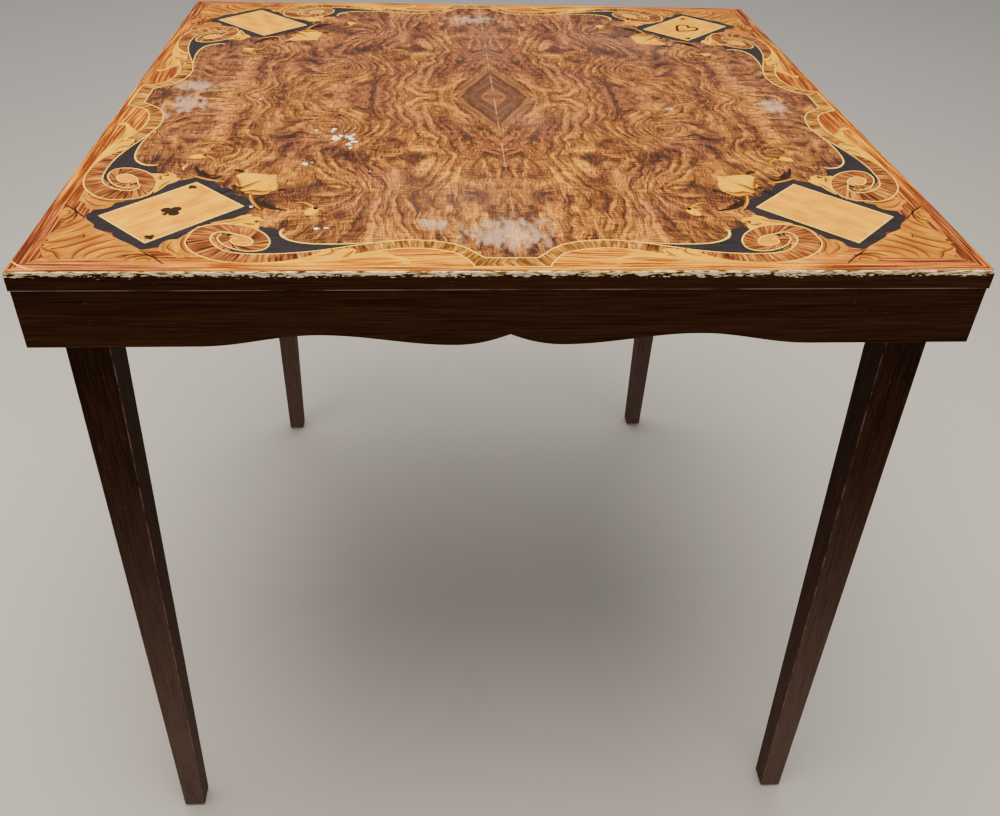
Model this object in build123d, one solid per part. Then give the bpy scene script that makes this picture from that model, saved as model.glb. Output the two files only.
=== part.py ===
from build123d import *
from math import cos, hypot, radians, sin, tan
import os

# A square card table with an inlaid top, a shaped apron and four folding legs.
# Z is up and the floor is at zero. The front is towards -Y and X runs to the right.
# Lengths are in millimetres and angles in degrees.

# The whole table
top_width = 762.0
table_height = 730.0

# Table top: a core board, a lipping round its edge and one layer of veneer
top_thickness = 17.0
veneer_thickness = 0.8
lipping_width = 5.0
arris_radius = 1.2

# Apron rails, mitred at the corners and tongued into the top
apron_depth = 52.0
apron_thickness = 12.0
apron_overhang = 1.2
apron_arris = 1.0
tongue_thickness = 5.0
tongue_shoulder = 2.0
tongue_height = 6.0
tongue_end_gap = 60.0
tongue_clearance = 0.1
mitre_key_thickness = 3.0
mitre_key_width = 8.0
mitre_key_height = 34.0
mitre_key_clearance = 0.1

# Shaped lower edge of each rail: heights above its lowest line, and distances from the corner as
# shares of half the rail's length
crest_height = 10.0
peak_height = 10.0
peak_slope = 0.42
flat_share = 0.350
crest_share = 0.595
dip_share = 0.885

# Marquetry cards set across the corners on dark grounds, all as shares of half the top's width
card_width_share = 0.181
card_length_share = 0.249
card_corner_share = 0.005
card_inset_share = 0.2625
ground_side_share = 0.020
ground_end_share = 0.016

# Legs
leg_width = 36.0
foot_width = 23.0
leg_inset = 25.0
leg_arris = 1.6
leg_splay = 1.5
leg_head_length = 75.0
pivot_depth = 20.0
glide_radius = 8.5
glide_thickness = 3.5
glide_edge = 1.0
glide_nail_radius = 1.4
glide_nail_length = 14.0
rear_leg_gap = 8.0

# Folding hardware
plate_thickness = 2.0
strap_thickness = 2.0
strap_to_plate = 0.8
strap_to_leg = 1.7
stud_radius = 3.0
slot_clearance = 0.15
running_clearance = 0.05
stud_rise = 0.8
brace_length = 112.0
brace_angle = 50.0
fold_angle = 90.0 + leg_splay
brace_swing = fold_angle / 2
strap_end_radius = 8.0
strap_waist_width = 11.0
stud_head_radius = 5.0
stud_head_thickness = 1.5
stud_rivet_thickness = 0.9
pivot_radius = 4.0
pivot_shoulder_radius = 7.0
pivot_rivet_radius = 6.0
pivot_rivet_thickness = 2.0
pivot_end_play = 0.2
pivot_washer_radius = 9.0
pivot_washer_thickness = 1.2
pivot_nut_width = 13.0
pivot_nut_thickness = 4.0
brace_pin_radius = 3.0
brace_pin_collar_radius = 5.5
brace_pin_head_radius = 5.0
brace_pin_depth = 20.0
plate_screw_radius = 1.9
plate_screw_head_radius = 3.6
plate_screw_length = 10.0
plate_corner = 6.0
recess_depth = 3.0
recess_margin = 2.0

# Bearers that carry the rear legs' hardware
bearer_thickness = 20.0
bearer_depth = 45.0
bearer_screw_radius = 2.5
bearer_screw_head_radius = 5.0
bearer_screw_head_thickness = 3.0
bearer_screw_length = 44.0
bearer_counterbore = 12.0
bearer_screw_clearance = 0.1

# Glue blocks behind the front and back rails
block_length = 70.0
block_width = 18.0
block_depth = 20.0
block_bevel = 8.0
block_clearance = 10.0

cut_overrun = 5.0

# Places worked out from the sizes above
half_top = top_width / 2
half_apron = half_top - apron_overhang
underside = table_height - top_thickness
apron_bottom = underside - apron_depth
veneer_bottom = table_height - veneer_thickness
core_width = top_width - 2 * lipping_width
rail_inside = half_apron - apron_thickness
pivot_height = underside - pivot_depth
half_leg = leg_width / 2
strap_start = half_leg + strap_to_leg
plate_start = strap_start + strap_thickness + strap_to_plate
carrier_face = plate_start + plate_thickness
front_pivot_x = rail_inside - carrier_face
rear_pivot_x = front_pivot_x - leg_width - rear_leg_gap
pivot_y = half_apron - leg_inset - half_leg
brace_drop = brace_length * sin(radians(brace_angle)) - stud_rise
bearer_outside = rear_pivot_x - carrier_face
bearer_inside = bearer_outside - bearer_thickness
block_reach = bearer_inside - block_clearance - block_length / 2

# Outline of the cross-banded scroll on half of one side of the top. Each place is a share of
# half the top's width: first along the side from its middle, then inwards from the edge.
scroll_outer_shares = [
    (0.076, 0.017), (0.089, 0.045), (0.110, 0.072), (0.147, 0.089), (0.202, 0.097),
    (0.255, 0.091), (0.310, 0.073), (0.367, 0.056), (0.425, 0.043), (0.488, 0.034),
    (0.551, 0.034), (0.604, 0.047), (0.651, 0.079), (0.682, 0.126), (0.682, 0.165),
    (0.664, 0.194), (0.630, 0.205), (0.588, 0.198), (0.543, 0.171), (0.517, 0.134),
    (0.513, 0.105), (0.533, 0.084),
]
scroll_inner_shares = [
    (0.055, 0.055), (0.073, 0.076), (0.094, 0.100), (0.136, 0.123), (0.205, 0.134),
    (0.262, 0.126), (0.320, 0.110), (0.378, 0.092), (0.433, 0.079), (0.491, 0.072),
    (0.543, 0.072),
]
# Dark ground between a scroll and the field: its curved edge, then corners under the scroll
ground_curve_shares = [
    (0.276, 0.126), (0.315, 0.122), (0.381, 0.118), (0.433, 0.123), (0.472, 0.136),
    (0.491, 0.157), (0.493, 0.181),
]
ground_corner_shares = [
    (0.517, 0.192), (0.546, 0.215), (0.580, 0.150), (0.560, 0.053), (0.490, 0.053),
    (0.430, 0.061), (0.370, 0.074), (0.320, 0.092), (0.276, 0.108),
]
# Screws of a side plate and corners of its outline: places from the pivot, as shares of the
# brace's length
plate_screw_shares = [
    (0.205, 0.075), (0.205, -0.075), (0.46, 0.06), (1.00, 0.075), (1.36, 0.075), (1.865, -0.02),
]
plate_outline_shares = [
    (-0.13, 0.14), (1.93, 0.14), (1.93, -0.05), (1.72, -0.155), (0.90, -0.17), (0.36, -0.13), (-0.13, -0.13),
]
slot_point_count = 13
bearer_screw_shares = (-0.8, -0.04, 0.715)
block_place_shares = (-1.0, 0.0, 1.0)


def along_x(radius, start, end, y=0.0, z=0.0):
    """Round bar along X."""
    return Pos((start + end) / 2, y, z) * Rot(Y=90) * Cylinder(radius, end - start)


def cone_along_x(start_radius, end_radius, start, end, y=0.0, z=0.0):
    """Round taper along X."""
    return Pos((start + end) / 2, y, z) * Rot(Y=90) * Cone(start_radius, end_radius, end - start)


def from_side(sketch, start, thickness):
    """Flat piece drawn as seen from the side, in Y and Z, and thickened along X."""
    return Pos(start, 0, 0) * extrude(Plane.YZ * sketch, thickness)


def block(low, high):
    """Box between two corners."""
    sizes = [high[axis] - low[axis] for axis in range(3)]
    middle = [(high[axis] + low[axis]) / 2 for axis in range(3)]
    return Pos(*middle) * Box(*sizes)


def quarter_turns(solid):
    """The four copies of a solid round the table's centre."""
    return [Rot(Z=90 * turn) * solid for turn in range(4)]


# Positions of the four legs: side of the table, fold direction and place of the pivot
class LegPlace:
    """Where a leg hangs: its carrier is on the outboard side in front and inboard at the back."""

    def __init__(self, side, end):
        self.name = ("front" if end < 0 else "rear") + "_" + ("left" if side < 0 else "right")
        self.side = side
        self.end = end
        self.x = side * (front_pivot_x if end < 0 else rear_pivot_x)
        self.y = end * pivot_y
        self.carrier = side if end < 0 else -side

    def put(self, solid):
        """Moves a solid drawn about the pivot, with its carrier at +X and its fold to +Y."""
        if self.carrier < 0:
            solid = mirror(solid, about=Plane.YZ)
        if self.end > 0:
            solid = mirror(solid, about=Plane.XZ)
        return Pos(self.x, self.y, pivot_height) * solid


leg_places = [LegPlace(side, end) for end in (-1, 1) for side in (-1, 1)]


# The curve that the brace's stud follows while the leg folds
def brace_foot(fold):
    """Centre of the pin between leg and brace, as Y and Z from the pivot."""
    lean = radians(fold - leg_splay)
    return brace_drop * sin(lean), -brace_drop * cos(lean)


def stud_centre(fold):
    """Centre of the sliding stud, as Y and Z from the pivot."""
    rise = radians(brace_angle - brace_swing * fold / fold_angle)
    foot = brace_foot(fold)
    return foot[0] + brace_length * cos(rise), foot[1] + brace_length * sin(rise)


def slot_sketch(half_width):
    """Slot along the stud's curve, with round ends."""
    folds = [fold_angle * step / (slot_point_count - 1) for step in range(slot_point_count)]
    centres = [stud_centre(fold) for fold in folds]
    step = fold_angle / slot_point_count ** 3
    upper = []
    lower = []
    directions = []
    for fold, centre in zip(folds, centres):
        before = stud_centre(fold - step)
        after = stud_centre(fold + step)
        length = hypot(after[0] - before[0], after[1] - before[1])
        along = ((after[0] - before[0]) / length, (after[1] - before[1]) / length)
        directions.append(along)
        upper.append((centre[0] - half_width * along[1], centre[1] + half_width * along[0]))
        lower.append((centre[0] + half_width * along[1], centre[1] - half_width * along[0]))
    first_tip = (centres[0][0] - half_width * directions[0][0], centres[0][1] - half_width * directions[0][1])
    last_tip = (centres[-1][0] + half_width * directions[-1][0], centres[-1][1] + half_width * directions[-1][1])
    edges = [
        Spline(*upper),
        ThreePointArc(upper[-1], last_tip, lower[-1]),
        Spline(*lower[::-1]),
        ThreePointArc(lower[0], first_tip, upper[0]),
    ]
    return make_face(Wire(edges))


# Marquetry pieces, drawn flat with the middle of the front side at the bottom
def side_point(share):
    """Point on the front side's left half, from shares along and inwards."""
    return -share[0] * half_top, -half_top + share[1] * half_top


def scroll_sketch():
    """Silhouette of one scroll with its volute."""
    outer = [side_point(share) for share in scroll_outer_shares]
    inner = [side_point(share) for share in scroll_inner_shares]
    edges = [Spline(*outer), Line(outer[-1], inner[-1]), Spline(*inner[::-1]), Line(inner[0], outer[0])]
    return make_face(Wire(edges))


def scroll_middle_sketch():
    """Straight length of banding between the two scrolls of a side."""
    outer = side_point(scroll_outer_shares[0])
    inner = side_point(scroll_inner_shares[0])
    corners = [outer, inner, (-inner[0], inner[1]), (-outer[0], outer[1])]
    return make_face(Polyline(*corners, close=True))


def dark_ground_sketch():
    """Dark ground beside one scroll, running on under the scroll."""
    curve = [side_point(share) for share in ground_curve_shares]
    corners = [side_point(share) for share in ground_corner_shares]
    edges = [Spline(*curve), Polyline(curve[-1], *corners, curve[0])]
    return make_face(Wire(edges[0].edges() + edges[1].edges()))


def card_place():
    """Middle of the front left card, turned so that its length points at the table's centre."""
    from_middle = half_top * (1 - card_inset_share)
    return Pos(-from_middle, -from_middle) * Rot(Z=45)


def both_halves(sketch):
    """A sketch and its mirror image about the middle of the front side."""
    return [sketch, mirror(sketch, about=Plane.YZ)]


def veneer(sketch):
    """Piece of veneer at its height."""
    return Pos(0, 0, veneer_bottom) * extrude(sketch, veneer_thickness)


def all_round(sketches):
    """Veneer pieces on all four sides."""
    return [piece for sketch in sketches for piece in quarter_turns(veneer(sketch))]


def side_wedge(depth_low, depth_high):
    """Prism over the quarter of the top that belongs to the front side, up to both mitres."""
    corners = [(0, 0), (-top_width, -top_width), (top_width, -top_width)]
    return Pos(0, 0, depth_low) * extrude(make_face(Polyline(*corners, close=True)), depth_high - depth_low)


def marquetry():
    """Veneer pieces by name, each a list of solids that fill the layer without overlapping."""
    scrolls = all_round(both_halves(scroll_sketch()) + [scroll_middle_sketch()])
    card_length = card_length_share * half_top
    card_width = card_width_share * half_top
    ground_length = card_length + 2 * ground_end_share * half_top
    ground_width = card_width + 2 * ground_side_share * half_top
    card_corner = card_corner_share * half_top
    card_grounds = all_round([card_place() * Rectangle(ground_length, ground_width)])
    cards = all_round([card_place() * RectangleRounded(card_length, card_width, card_corner)])
    crescents = all_round(both_halves(dark_ground_sketch()))
    sheet_width = top_width - 2 * arris_radius
    sheet = veneer(Rectangle(sheet_width, sheet_width)) - scrolls - card_grounds - crescents
    regions = sorted(sheet.solids(), key=lambda solid: solid.bounding_box().size.X)
    quadrant = block((0, 0, 0), (top_width, top_width, table_height + cut_overrun))
    wedge = side_wedge(0, table_height + cut_overrun)
    return {
        "scroll_banding": scrolls,
        "dark_grounds": [piece - scrolls - card_grounds for piece in crescents]
        + [piece - cards - scrolls for piece in card_grounds],
        "card_panels": cards,
        "burl_field": [regions[-2] & part for part in quarter_turns(quadrant)],
        "border_veneer": [regions[-1] & part for part in quarter_turns(wedge)],
    }


def lipping_and_core():
    """Core board, grooved for the rails, and the four mitred lippings round it."""
    core = block((-core_width / 2, -core_width / 2, underside), (core_width / 2, core_width / 2, veneer_bottom))
    groove = tongue(tongue_clearance)
    core = core - quarter_turns(groove)
    strip = block((-half_top, -half_top, underside), (half_top, -core_width / 2, veneer_bottom))
    outer_edge = strip.edges().filter_by(Axis.X).group_by(Axis.Z)[-1].sort_by(Axis.Y)[0]
    strip = fillet(outer_edge, arris_radius) & side_wedge(0, table_height)
    return core, quarter_turns(strip)


# Apron
def tongue(clearance):
    """Tongue on top of the front rail, or its groove when it has a clearance."""
    inside = rail_inside + tongue_shoulder
    half_length = half_apron - tongue_end_gap + clearance
    return block(
        (-half_length, -inside - tongue_thickness - clearance, underside),
        (half_length, -inside + clearance, underside + tongue_height + clearance),
    )


def rail_sketch():
    """Front rail seen from the front, with its shaped lower edge."""
    flat = (-half_apron * (1 - flat_share), apron_bottom)
    crest = (-half_apron * (1 - crest_share), apron_bottom + crest_height)
    dip = (-half_apron * (1 - dip_share), apron_bottom)
    peak = (0, apron_bottom + peak_height)
    level = (1, 0)
    left_edges = [
        Line((-half_apron, apron_bottom), flat),
        Spline(flat, crest, tangents=(level, level)),
        Spline(crest, dip, tangents=(level, level)),
        Spline(dip, peak, tangents=(level, (1, peak_slope))),
    ]
    right_edges = [mirror(edge, about=Plane.YZ).edge() for edge in left_edges]
    ends = Polyline((-half_apron, apron_bottom), (-half_apron, underside), (half_apron, underside),
                    (half_apron, apron_bottom))
    return make_face(Wire(left_edges + right_edges + ends.edges()))


def mitre_key(clearance):
    """Hidden key across the front left mitre, or its slot when it has a clearance."""
    across = mitre_key_width + 2 * clearance
    thickness = mitre_key_thickness + 2 * clearance
    height = mitre_key_height + 2 * clearance
    middle = -half_apron + apron_thickness / 2
    return Pos(middle, middle, (underside + apron_bottom) / 2) * Rot(Z=45) * Box(thickness, across, height)


def rail():
    """Front rail with mitred ends, tongue and key slots, before its hardware is let in."""
    front = Plane((0, -rail_inside, 0), x_dir=(1, 0, 0), z_dir=(0, -1, 0))
    solid = extrude(front * rail_sketch(), apron_thickness)
    lower_edges = solid.edges().filter_by(GeomType.LINE).filter_by(Axis.X).group_by(Axis.Z)[0]
    solid = fillet(lower_edges.group_by(Axis.Y)[0], apron_arris)
    solid = (solid & side_wedge(0, underside)) + tongue(0)
    return solid - mitre_key(mitre_key_clearance) - Rot(Z=90) * mitre_key(mitre_key_clearance)


# Legs
def leg_blank(outboard):
    """Leg hanging from its pivot: round head, square upper length and long taper.

    The outboard and front faces stay straight and the other two taper. The foot is left long.
    """
    length = pivot_height / cos(radians(leg_splay)) + foot_width
    shift = (leg_width - foot_width) / 2
    head = along_x(half_leg, -half_leg, half_leg)
    upper = block((-half_leg, -half_leg, -leg_head_length), (half_leg, half_leg, 0))
    top_face = Pos(0, 0, -leg_head_length) * Rectangle(leg_width, leg_width)
    foot_face = Pos(outboard * shift, -shift, -length) * Rectangle(foot_width, foot_width)
    blank = head + upper + loft([top_face, foot_face])
    long_edges = [edge for edge in blank.edges() if edge.bounding_box().size.Z > leg_width]
    return fillet(long_edges, leg_arris)


def leg(place):
    """One leg in its place, bored for its pins and cut level above its glide."""
    outboard = 1 if place.end < 0 else -1
    foot = brace_foot(0)
    overrun = half_leg + cut_overrun
    pivot_hole = along_x(pivot_radius + running_clearance, -overrun, overrun)
    pin_hole = along_x(brace_pin_radius + running_clearance, half_leg - brace_pin_depth, overrun, *foot)
    solid = place.put(Rot(X=-leg_splay) * leg_blank(outboard) - pivot_hole - pin_hole)
    floor = block((-top_width, -top_width, -table_height), (top_width, top_width, glide_thickness))
    return solid - floor - glide_nail(place, running_clearance)


def foot_centre(place):
    """Middle of the foot where it meets the glide."""
    shift = (leg_width - foot_width) / 2
    drop = pivot_height - glide_thickness
    return place.x + place.side * shift, place.end * (pivot_y + drop * tan(radians(leg_splay)) + shift)


def glide_nail(place, clearance):
    """Nail that holds the glide, or its hole when it has a clearance."""
    x, y = foot_centre(place)
    length = glide_nail_length + clearance
    return Pos(x, y, glide_thickness + length / 2) * Cylinder(glide_nail_radius + clearance, length)


def glide(place):
    """Domed steel glide under a foot."""
    x, y = foot_centre(place)
    disc = Pos(x, y, glide_thickness / 2) * Cylinder(glide_radius, glide_thickness)
    disc = fillet(disc.edges().sort_by(Axis.Z)[0], glide_edge)
    return disc + glide_nail(place, 0)


# Folding hardware, drawn about the pivot with the carrier at +X
def scaled(shares):
    """Places from the pivot, worked out from shares of the brace's length."""
    return [(share[0] * brace_length, share[1] * brace_length) for share in shares]


def countersunk_screw(radius, head_radius, length, y, z, clearance):
    """Flat-headed screw through the side plate into its carrier, or its hole."""
    shank = along_x(radius + clearance, plate_start, plate_start + length + clearance, y, z)
    head = cone_along_x(head_radius + clearance, radius + clearance, plate_start, carrier_face, y, z)
    return shank + head


def plate_screws(clearance):
    """The screws of one side plate, or their holes."""
    return [
        countersunk_screw(plate_screw_radius, plate_screw_head_radius, plate_screw_length, y, z, clearance)
        for y, z in scaled(plate_screw_shares)
    ]


def side_plate():
    """Steel plate with the pivot hole and the curved slot."""
    outline = make_face(Polyline(*scaled(plate_outline_shares), close=True))
    outline = fillet(outline.vertices(), plate_corner)
    plate = from_side(outline - slot_sketch(stud_radius + slot_clearance), plate_start, plate_thickness)
    pin_hole = along_x(pivot_radius + running_clearance, plate_start - cut_overrun, carrier_face + cut_overrun)
    return plate - pin_hole - plate_screws(running_clearance)


def carrier_recess():
    """Recess in rail or bearer behind the plate, for the rivet of the pivot and the head of the stud."""
    slot_room = from_side(slot_sketch(stud_head_radius + recess_margin), carrier_face, recess_depth)
    pivot_room = along_x(pivot_rivet_radius + recess_margin, carrier_face, carrier_face + recess_depth)
    return slot_room + pivot_room


def pivot_stud():
    """Turned stud that is riveted to the plate and carries the leg."""
    shoulder_start = half_leg + pivot_end_play
    stud_end = -half_leg - pivot_end_play - pivot_washer_thickness - pivot_nut_thickness
    shaft = along_x(pivot_radius, stud_end, carrier_face)
    shoulder = along_x(pivot_shoulder_radius, shoulder_start, plate_start)
    rivet = cone_along_x(pivot_rivet_radius, pivot_radius, carrier_face, carrier_face + pivot_rivet_thickness)
    return shaft + shoulder + rivet


def pivot_washer():
    """Washer inside the leg."""
    start = -half_leg - pivot_end_play - pivot_washer_thickness
    ring = along_x(pivot_washer_radius, start, start + pivot_washer_thickness)
    return ring - along_x(pivot_radius + running_clearance, start - cut_overrun, 0)


def pivot_nut():
    """Thin hexagon nut on the end of the pivot stud."""
    end = -half_leg - pivot_end_play - pivot_washer_thickness
    start = end - pivot_nut_thickness
    hexagon = RegularPolygon(pivot_nut_width / 2, 6, major_radius=False)
    nut = from_side(hexagon, start, pivot_nut_thickness)
    return nut - along_x(pivot_radius + running_clearance, start - cut_overrun, 0)


def brace_strap():
    """Flat steel brace at rest, with round ends and a narrower waist."""
    ends = [Pos(end, 0) * Circle(strap_end_radius) for end in (0, brace_length)]
    outline = ends[0] + ends[1] + Pos(brace_length / 2, 0) * Rectangle(brace_length, strap_waist_width)
    inner_corners = [corner for corner in outline.vertices() if abs(corner.Y) < strap_end_radius]
    outline = fillet(inner_corners, strap_end_radius)
    foot = brace_foot(0)
    strap = from_side(Pos(*foot) * Rot(Z=brace_angle) * outline, strap_start, strap_thickness)
    stud = stud_centre(0)
    return strap - brace_pin(running_clearance) - along_x(
        stud_radius + running_clearance, strap_start - cut_overrun, plate_start + cut_overrun, *stud)


def brace_pin(clearance):
    """Shouldered screw on which the brace turns, flush with the brace."""
    foot = brace_foot(0)
    strap_end = strap_start + strap_thickness
    shank = along_x(brace_pin_radius + clearance, half_leg - brace_pin_depth, strap_end, *foot)
    head = cone_along_x(
        brace_pin_radius + clearance, brace_pin_head_radius + clearance, strap_start, strap_end, *foot)
    collar = along_x(brace_pin_collar_radius, half_leg, strap_start, *foot)
    return shank + head + collar


def slider_stud():
    """Stud at the top of the brace, with a rivet head inside and a wide head behind the plate."""
    centre = stud_centre(0)
    head_start = carrier_face + slot_clearance
    shaft = along_x(stud_radius, strap_start, head_start, *centre)
    rivet = along_x(stud_head_radius, strap_start - stud_rivet_thickness, strap_start, *centre)
    head = along_x(stud_head_radius, head_start, head_start + stud_head_thickness, *centre)
    return shaft + rivet + head


# Bearers and glue blocks
def bearer_screw_places():
    """Places of the screws along a bearer."""
    return [share * rail_inside for share in bearer_screw_shares]


def bearer_middle(side):
    """Middle of a bearer's thickness."""
    return side * (bearer_outside - bearer_thickness / 2)


def bearer_screws(side):
    """Screws that hold a bearer up to the top."""
    top = underside - bearer_depth + bearer_counterbore
    screws = []
    for y in bearer_screw_places():
        shank = Cylinder(bearer_screw_radius, bearer_screw_length, align=(Align.CENTER, Align.CENTER, Align.MIN))
        head = Cylinder(
            bearer_screw_head_radius, bearer_screw_head_thickness, align=(Align.CENTER, Align.CENTER, Align.MAX))
        screws.append(Pos(bearer_middle(side), y, top) * (shank + head))
    return screws


def bearer(side):
    """Bearer beside the rear leg, drilled and counterbored for its screws."""
    low = (bearer_middle(side) - bearer_thickness / 2, -rail_inside, underside - bearer_depth)
    high = (bearer_middle(side) + bearer_thickness / 2, rail_inside, underside)
    solid = block(low, high)
    for y in bearer_screw_places():
        hole = Cylinder(bearer_screw_radius + bearer_screw_clearance, bearer_depth + cut_overrun)
        bore = Cylinder(bearer_screw_head_radius + bearer_screw_clearance, 2 * bearer_counterbore)
        solid = solid - Pos(bearer_middle(side), y, underside - bearer_depth / 2) * hole
        solid = solid - Pos(bearer_middle(side), y, underside - bearer_depth) * bore
    return solid


def glue_block():
    """Bevelled block in the angle between the front rail and the top."""
    profile = Polyline(
        (-rail_inside, underside), (-rail_inside + block_width, underside),
        (-rail_inside + block_width, underside - block_depth + block_bevel),
        (-rail_inside + block_width - block_bevel, underside - block_depth),
        (-rail_inside, underside - block_depth), close=True)
    return from_side(make_face(profile), -block_length / 2, block_length)


def save(name, pieces):
    """Writes one named sub-part, made of one solid or of several separate ones."""
    solids = [solid for piece in pieces for solid in piece.solids()]
    shape = solids[0] if len(solids) == 1 else Compound(children=solids)
    shape.label = name
    export_step(shape, os.path.join("parts", name + ".step"))


def main():
    """Builds every sub-part and writes it."""
    os.makedirs("parts", exist_ok=True)
    for name, pieces in marquetry().items():
        save(name, pieces)

    core, lippings = lipping_and_core()
    side_names = ["front", "right", "back", "left"]
    for side_name, strip in zip(side_names, lippings):
        save("edge_lipping_" + side_name, [strip])

    rails = dict(zip(side_names, quarter_turns(rail())))
    bearers = {"left": bearer(-1), "right": bearer(1)}
    screws = []
    studs = []
    washers = []
    nuts = []
    for place in leg_places:
        recess = place.put(carrier_recess())
        holes = [place.put(hole) for hole in plate_screws(running_clearance)]
        side_name = "left" if place.side < 0 else "right"
        carriers = rails if place.end < 0 else bearers
        carriers[side_name] = carriers[side_name] - recess - holes
        screws += [place.put(screw) for screw in plate_screws(0)]
        studs.append(place.put(pivot_stud()))
        washers.append(place.put(pivot_washer()))
        nuts.append(place.put(pivot_nut()))
        save("side_plate_" + place.name, [place.put(side_plate())])
        save("leg_" + place.name, [leg(place)])
        save("glide_" + place.name, [glide(place)])
        save("brace_strap_" + place.name, [place.put(brace_strap())])
        save("brace_pin_" + place.name, [place.put(brace_pin(0))])
        save("slider_stud_" + place.name, [place.put(slider_stud())])

    for side_name, solid in rails.items():
        save("apron_" + side_name, [solid])
    for side_name, solid in bearers.items():
        save("bearer_" + side_name, [solid])
    save("plate_screws", screws)
    save("pivot_studs", studs)
    save("pivot_washers", washers)
    save("pivot_nuts", nuts)
    long_screws = bearer_screws(-1) + bearer_screws(1)
    save("bearer_screws", long_screws)
    for screw in long_screws:
        core = core - screw
    save("top_core", [core])
    save("mitre_keys", quarter_turns(mitre_key(0)))
    blocks = [Pos(share * block_reach, 0, 0) * glue_block() for share in block_place_shares]
    save("glue_blocks", blocks + [Rot(Z=180) * piece for piece in blocks])


main()
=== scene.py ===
"""A square folding card table: an inlaid top on a shaped apron, with four folding legs.

Lengths are in millimetres unless a name says otherwise. X runs to the right, the front is towards
-Y and the floor is at zero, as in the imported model.
"""
import logging
from dataclasses import dataclass, field
from enum import Enum
from math import cos, dist, hypot, pi, radians, sin

import bmesh
import bpy
from mathutils import Euler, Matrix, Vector


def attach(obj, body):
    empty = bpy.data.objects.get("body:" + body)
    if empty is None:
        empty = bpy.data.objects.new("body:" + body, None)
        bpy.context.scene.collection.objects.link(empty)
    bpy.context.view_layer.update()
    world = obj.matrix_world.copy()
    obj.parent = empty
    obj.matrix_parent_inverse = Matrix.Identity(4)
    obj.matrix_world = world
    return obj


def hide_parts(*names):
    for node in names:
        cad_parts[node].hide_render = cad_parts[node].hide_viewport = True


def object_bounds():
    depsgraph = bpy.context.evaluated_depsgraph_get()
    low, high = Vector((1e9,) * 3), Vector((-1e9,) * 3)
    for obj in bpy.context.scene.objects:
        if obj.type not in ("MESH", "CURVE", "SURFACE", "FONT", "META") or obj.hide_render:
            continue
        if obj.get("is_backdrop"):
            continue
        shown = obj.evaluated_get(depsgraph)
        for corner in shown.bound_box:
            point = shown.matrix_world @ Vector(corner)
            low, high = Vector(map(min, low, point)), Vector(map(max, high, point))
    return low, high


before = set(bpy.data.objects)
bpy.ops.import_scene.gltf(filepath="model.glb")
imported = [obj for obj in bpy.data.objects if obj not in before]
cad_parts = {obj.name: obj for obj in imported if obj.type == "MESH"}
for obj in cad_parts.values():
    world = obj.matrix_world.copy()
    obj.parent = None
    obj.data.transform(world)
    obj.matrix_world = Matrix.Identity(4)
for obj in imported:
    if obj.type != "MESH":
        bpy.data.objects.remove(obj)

MM = 0.001
log = logging.getLogger("card_table")

Point = tuple[float, float]
Triple = tuple[float, float, float]
Colour = tuple[float, float, float, float]
Stops = tuple[tuple[float, str], ...]
Tree = bpy.types.NodeTree
Node = bpy.types.Node
Socket = bpy.types.NodeSocket
# What an input of a node takes: a number, a hex colour, or the node or socket it is linked from
Source = Node | Socket | float | str

# Colour sockets of the mixing node, and the setting of a range that starts and ends softly
MIX_A = 6
MIX_B = 7
SOFT = {"interpolation_type": "SMOOTHSTEP"}


def linear(code: str) -> Colour:
    """Turns an sRGB hex colour into the linear values that a shader takes.

    Args:
        code: Six hex digits after a hash.

    Returns:
        Red, green, blue and an alpha of one.
    """
    channels = [int(code[start:start + 2], 16) / 255 for start in (1, 3, 5)]
    return (*(c / 12.92 if c <= 0.04045 else ((c + 0.055) / 1.055) ** 2.4 for c in channels), 1.0)


def frequency(size: float) -> float:
    """Scale of a texture whose features are about this many millimetres across."""
    return 1 / (size * MM)


def add(tree: Tree, kind: str, inputs: dict | list, stops: Stops = (), **settings: str | bool) -> Node:
    """Adds a shader node with its settings, links and values.

    Args:
        tree: Node tree to add to.
        kind: Node type without its ShaderNode prefix.
        inputs: Sources in the order of the sockets, or by the sockets' names or numbers.
        stops: Positions and hex colours of a colour ramp.
        settings: Properties of the node.

    Returns:
        The new node.
    """
    node = tree.nodes.new("ShaderNode" + kind)
    for name, value in settings.items():
        setattr(node, name, value)
    for key, source in inputs.items() if isinstance(inputs, dict) else enumerate(inputs):
        if isinstance(source, Node):
            source = next(socket for socket in source.outputs if socket.enabled)
        if isinstance(source, Socket):
            tree.links.new(source, node.inputs[key])
        else:
            node.inputs[key].default_value = linear(source) if isinstance(source, str) else source
    if stops:
        elements = node.color_ramp.elements
        while len(elements) < len(stops):
            elements.new(0.5)
        for element, (position, code) in zip(elements, stops):
            element.position = position
            element.color = linear(code)
    return node


def weighed(tree: Tree, start: Source, *parts: tuple[Source, float]) -> Source:
    """Adds patterns up by weight.

    Args:
        tree: Node tree to add to.
        start: Number or pattern that the sum starts from.
        parts: Each pattern with its weight.

    Returns:
        The sum.
    """
    total = start
    for pattern, weight in parts:
        total = add(tree, "Math", [pattern, weight, total], operation="MULTIPLY_ADD")
    return total


def layered(tree: Tree, ground: Source, *layers: tuple[Source, Source, Source]) -> Source:
    """Lays colours over a ground one after another, as stain, dirt and polish lie on wood.

    Args:
        tree: Node tree to add to.
        ground: Colour at the bottom.
        layers: For each layer where it lies from 0 to 1, how strong it is there, and its colour.

    Returns:
        Colour of them all.
    """
    for where, strength, colour in layers:
        share = add(tree, "Math", [where, strength], operation="MULTIPLY")
        ground = add(tree, "Mix", {0: share, MIX_A: ground, MIX_B: colour}, data_type="RGBA")
    return ground


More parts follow.
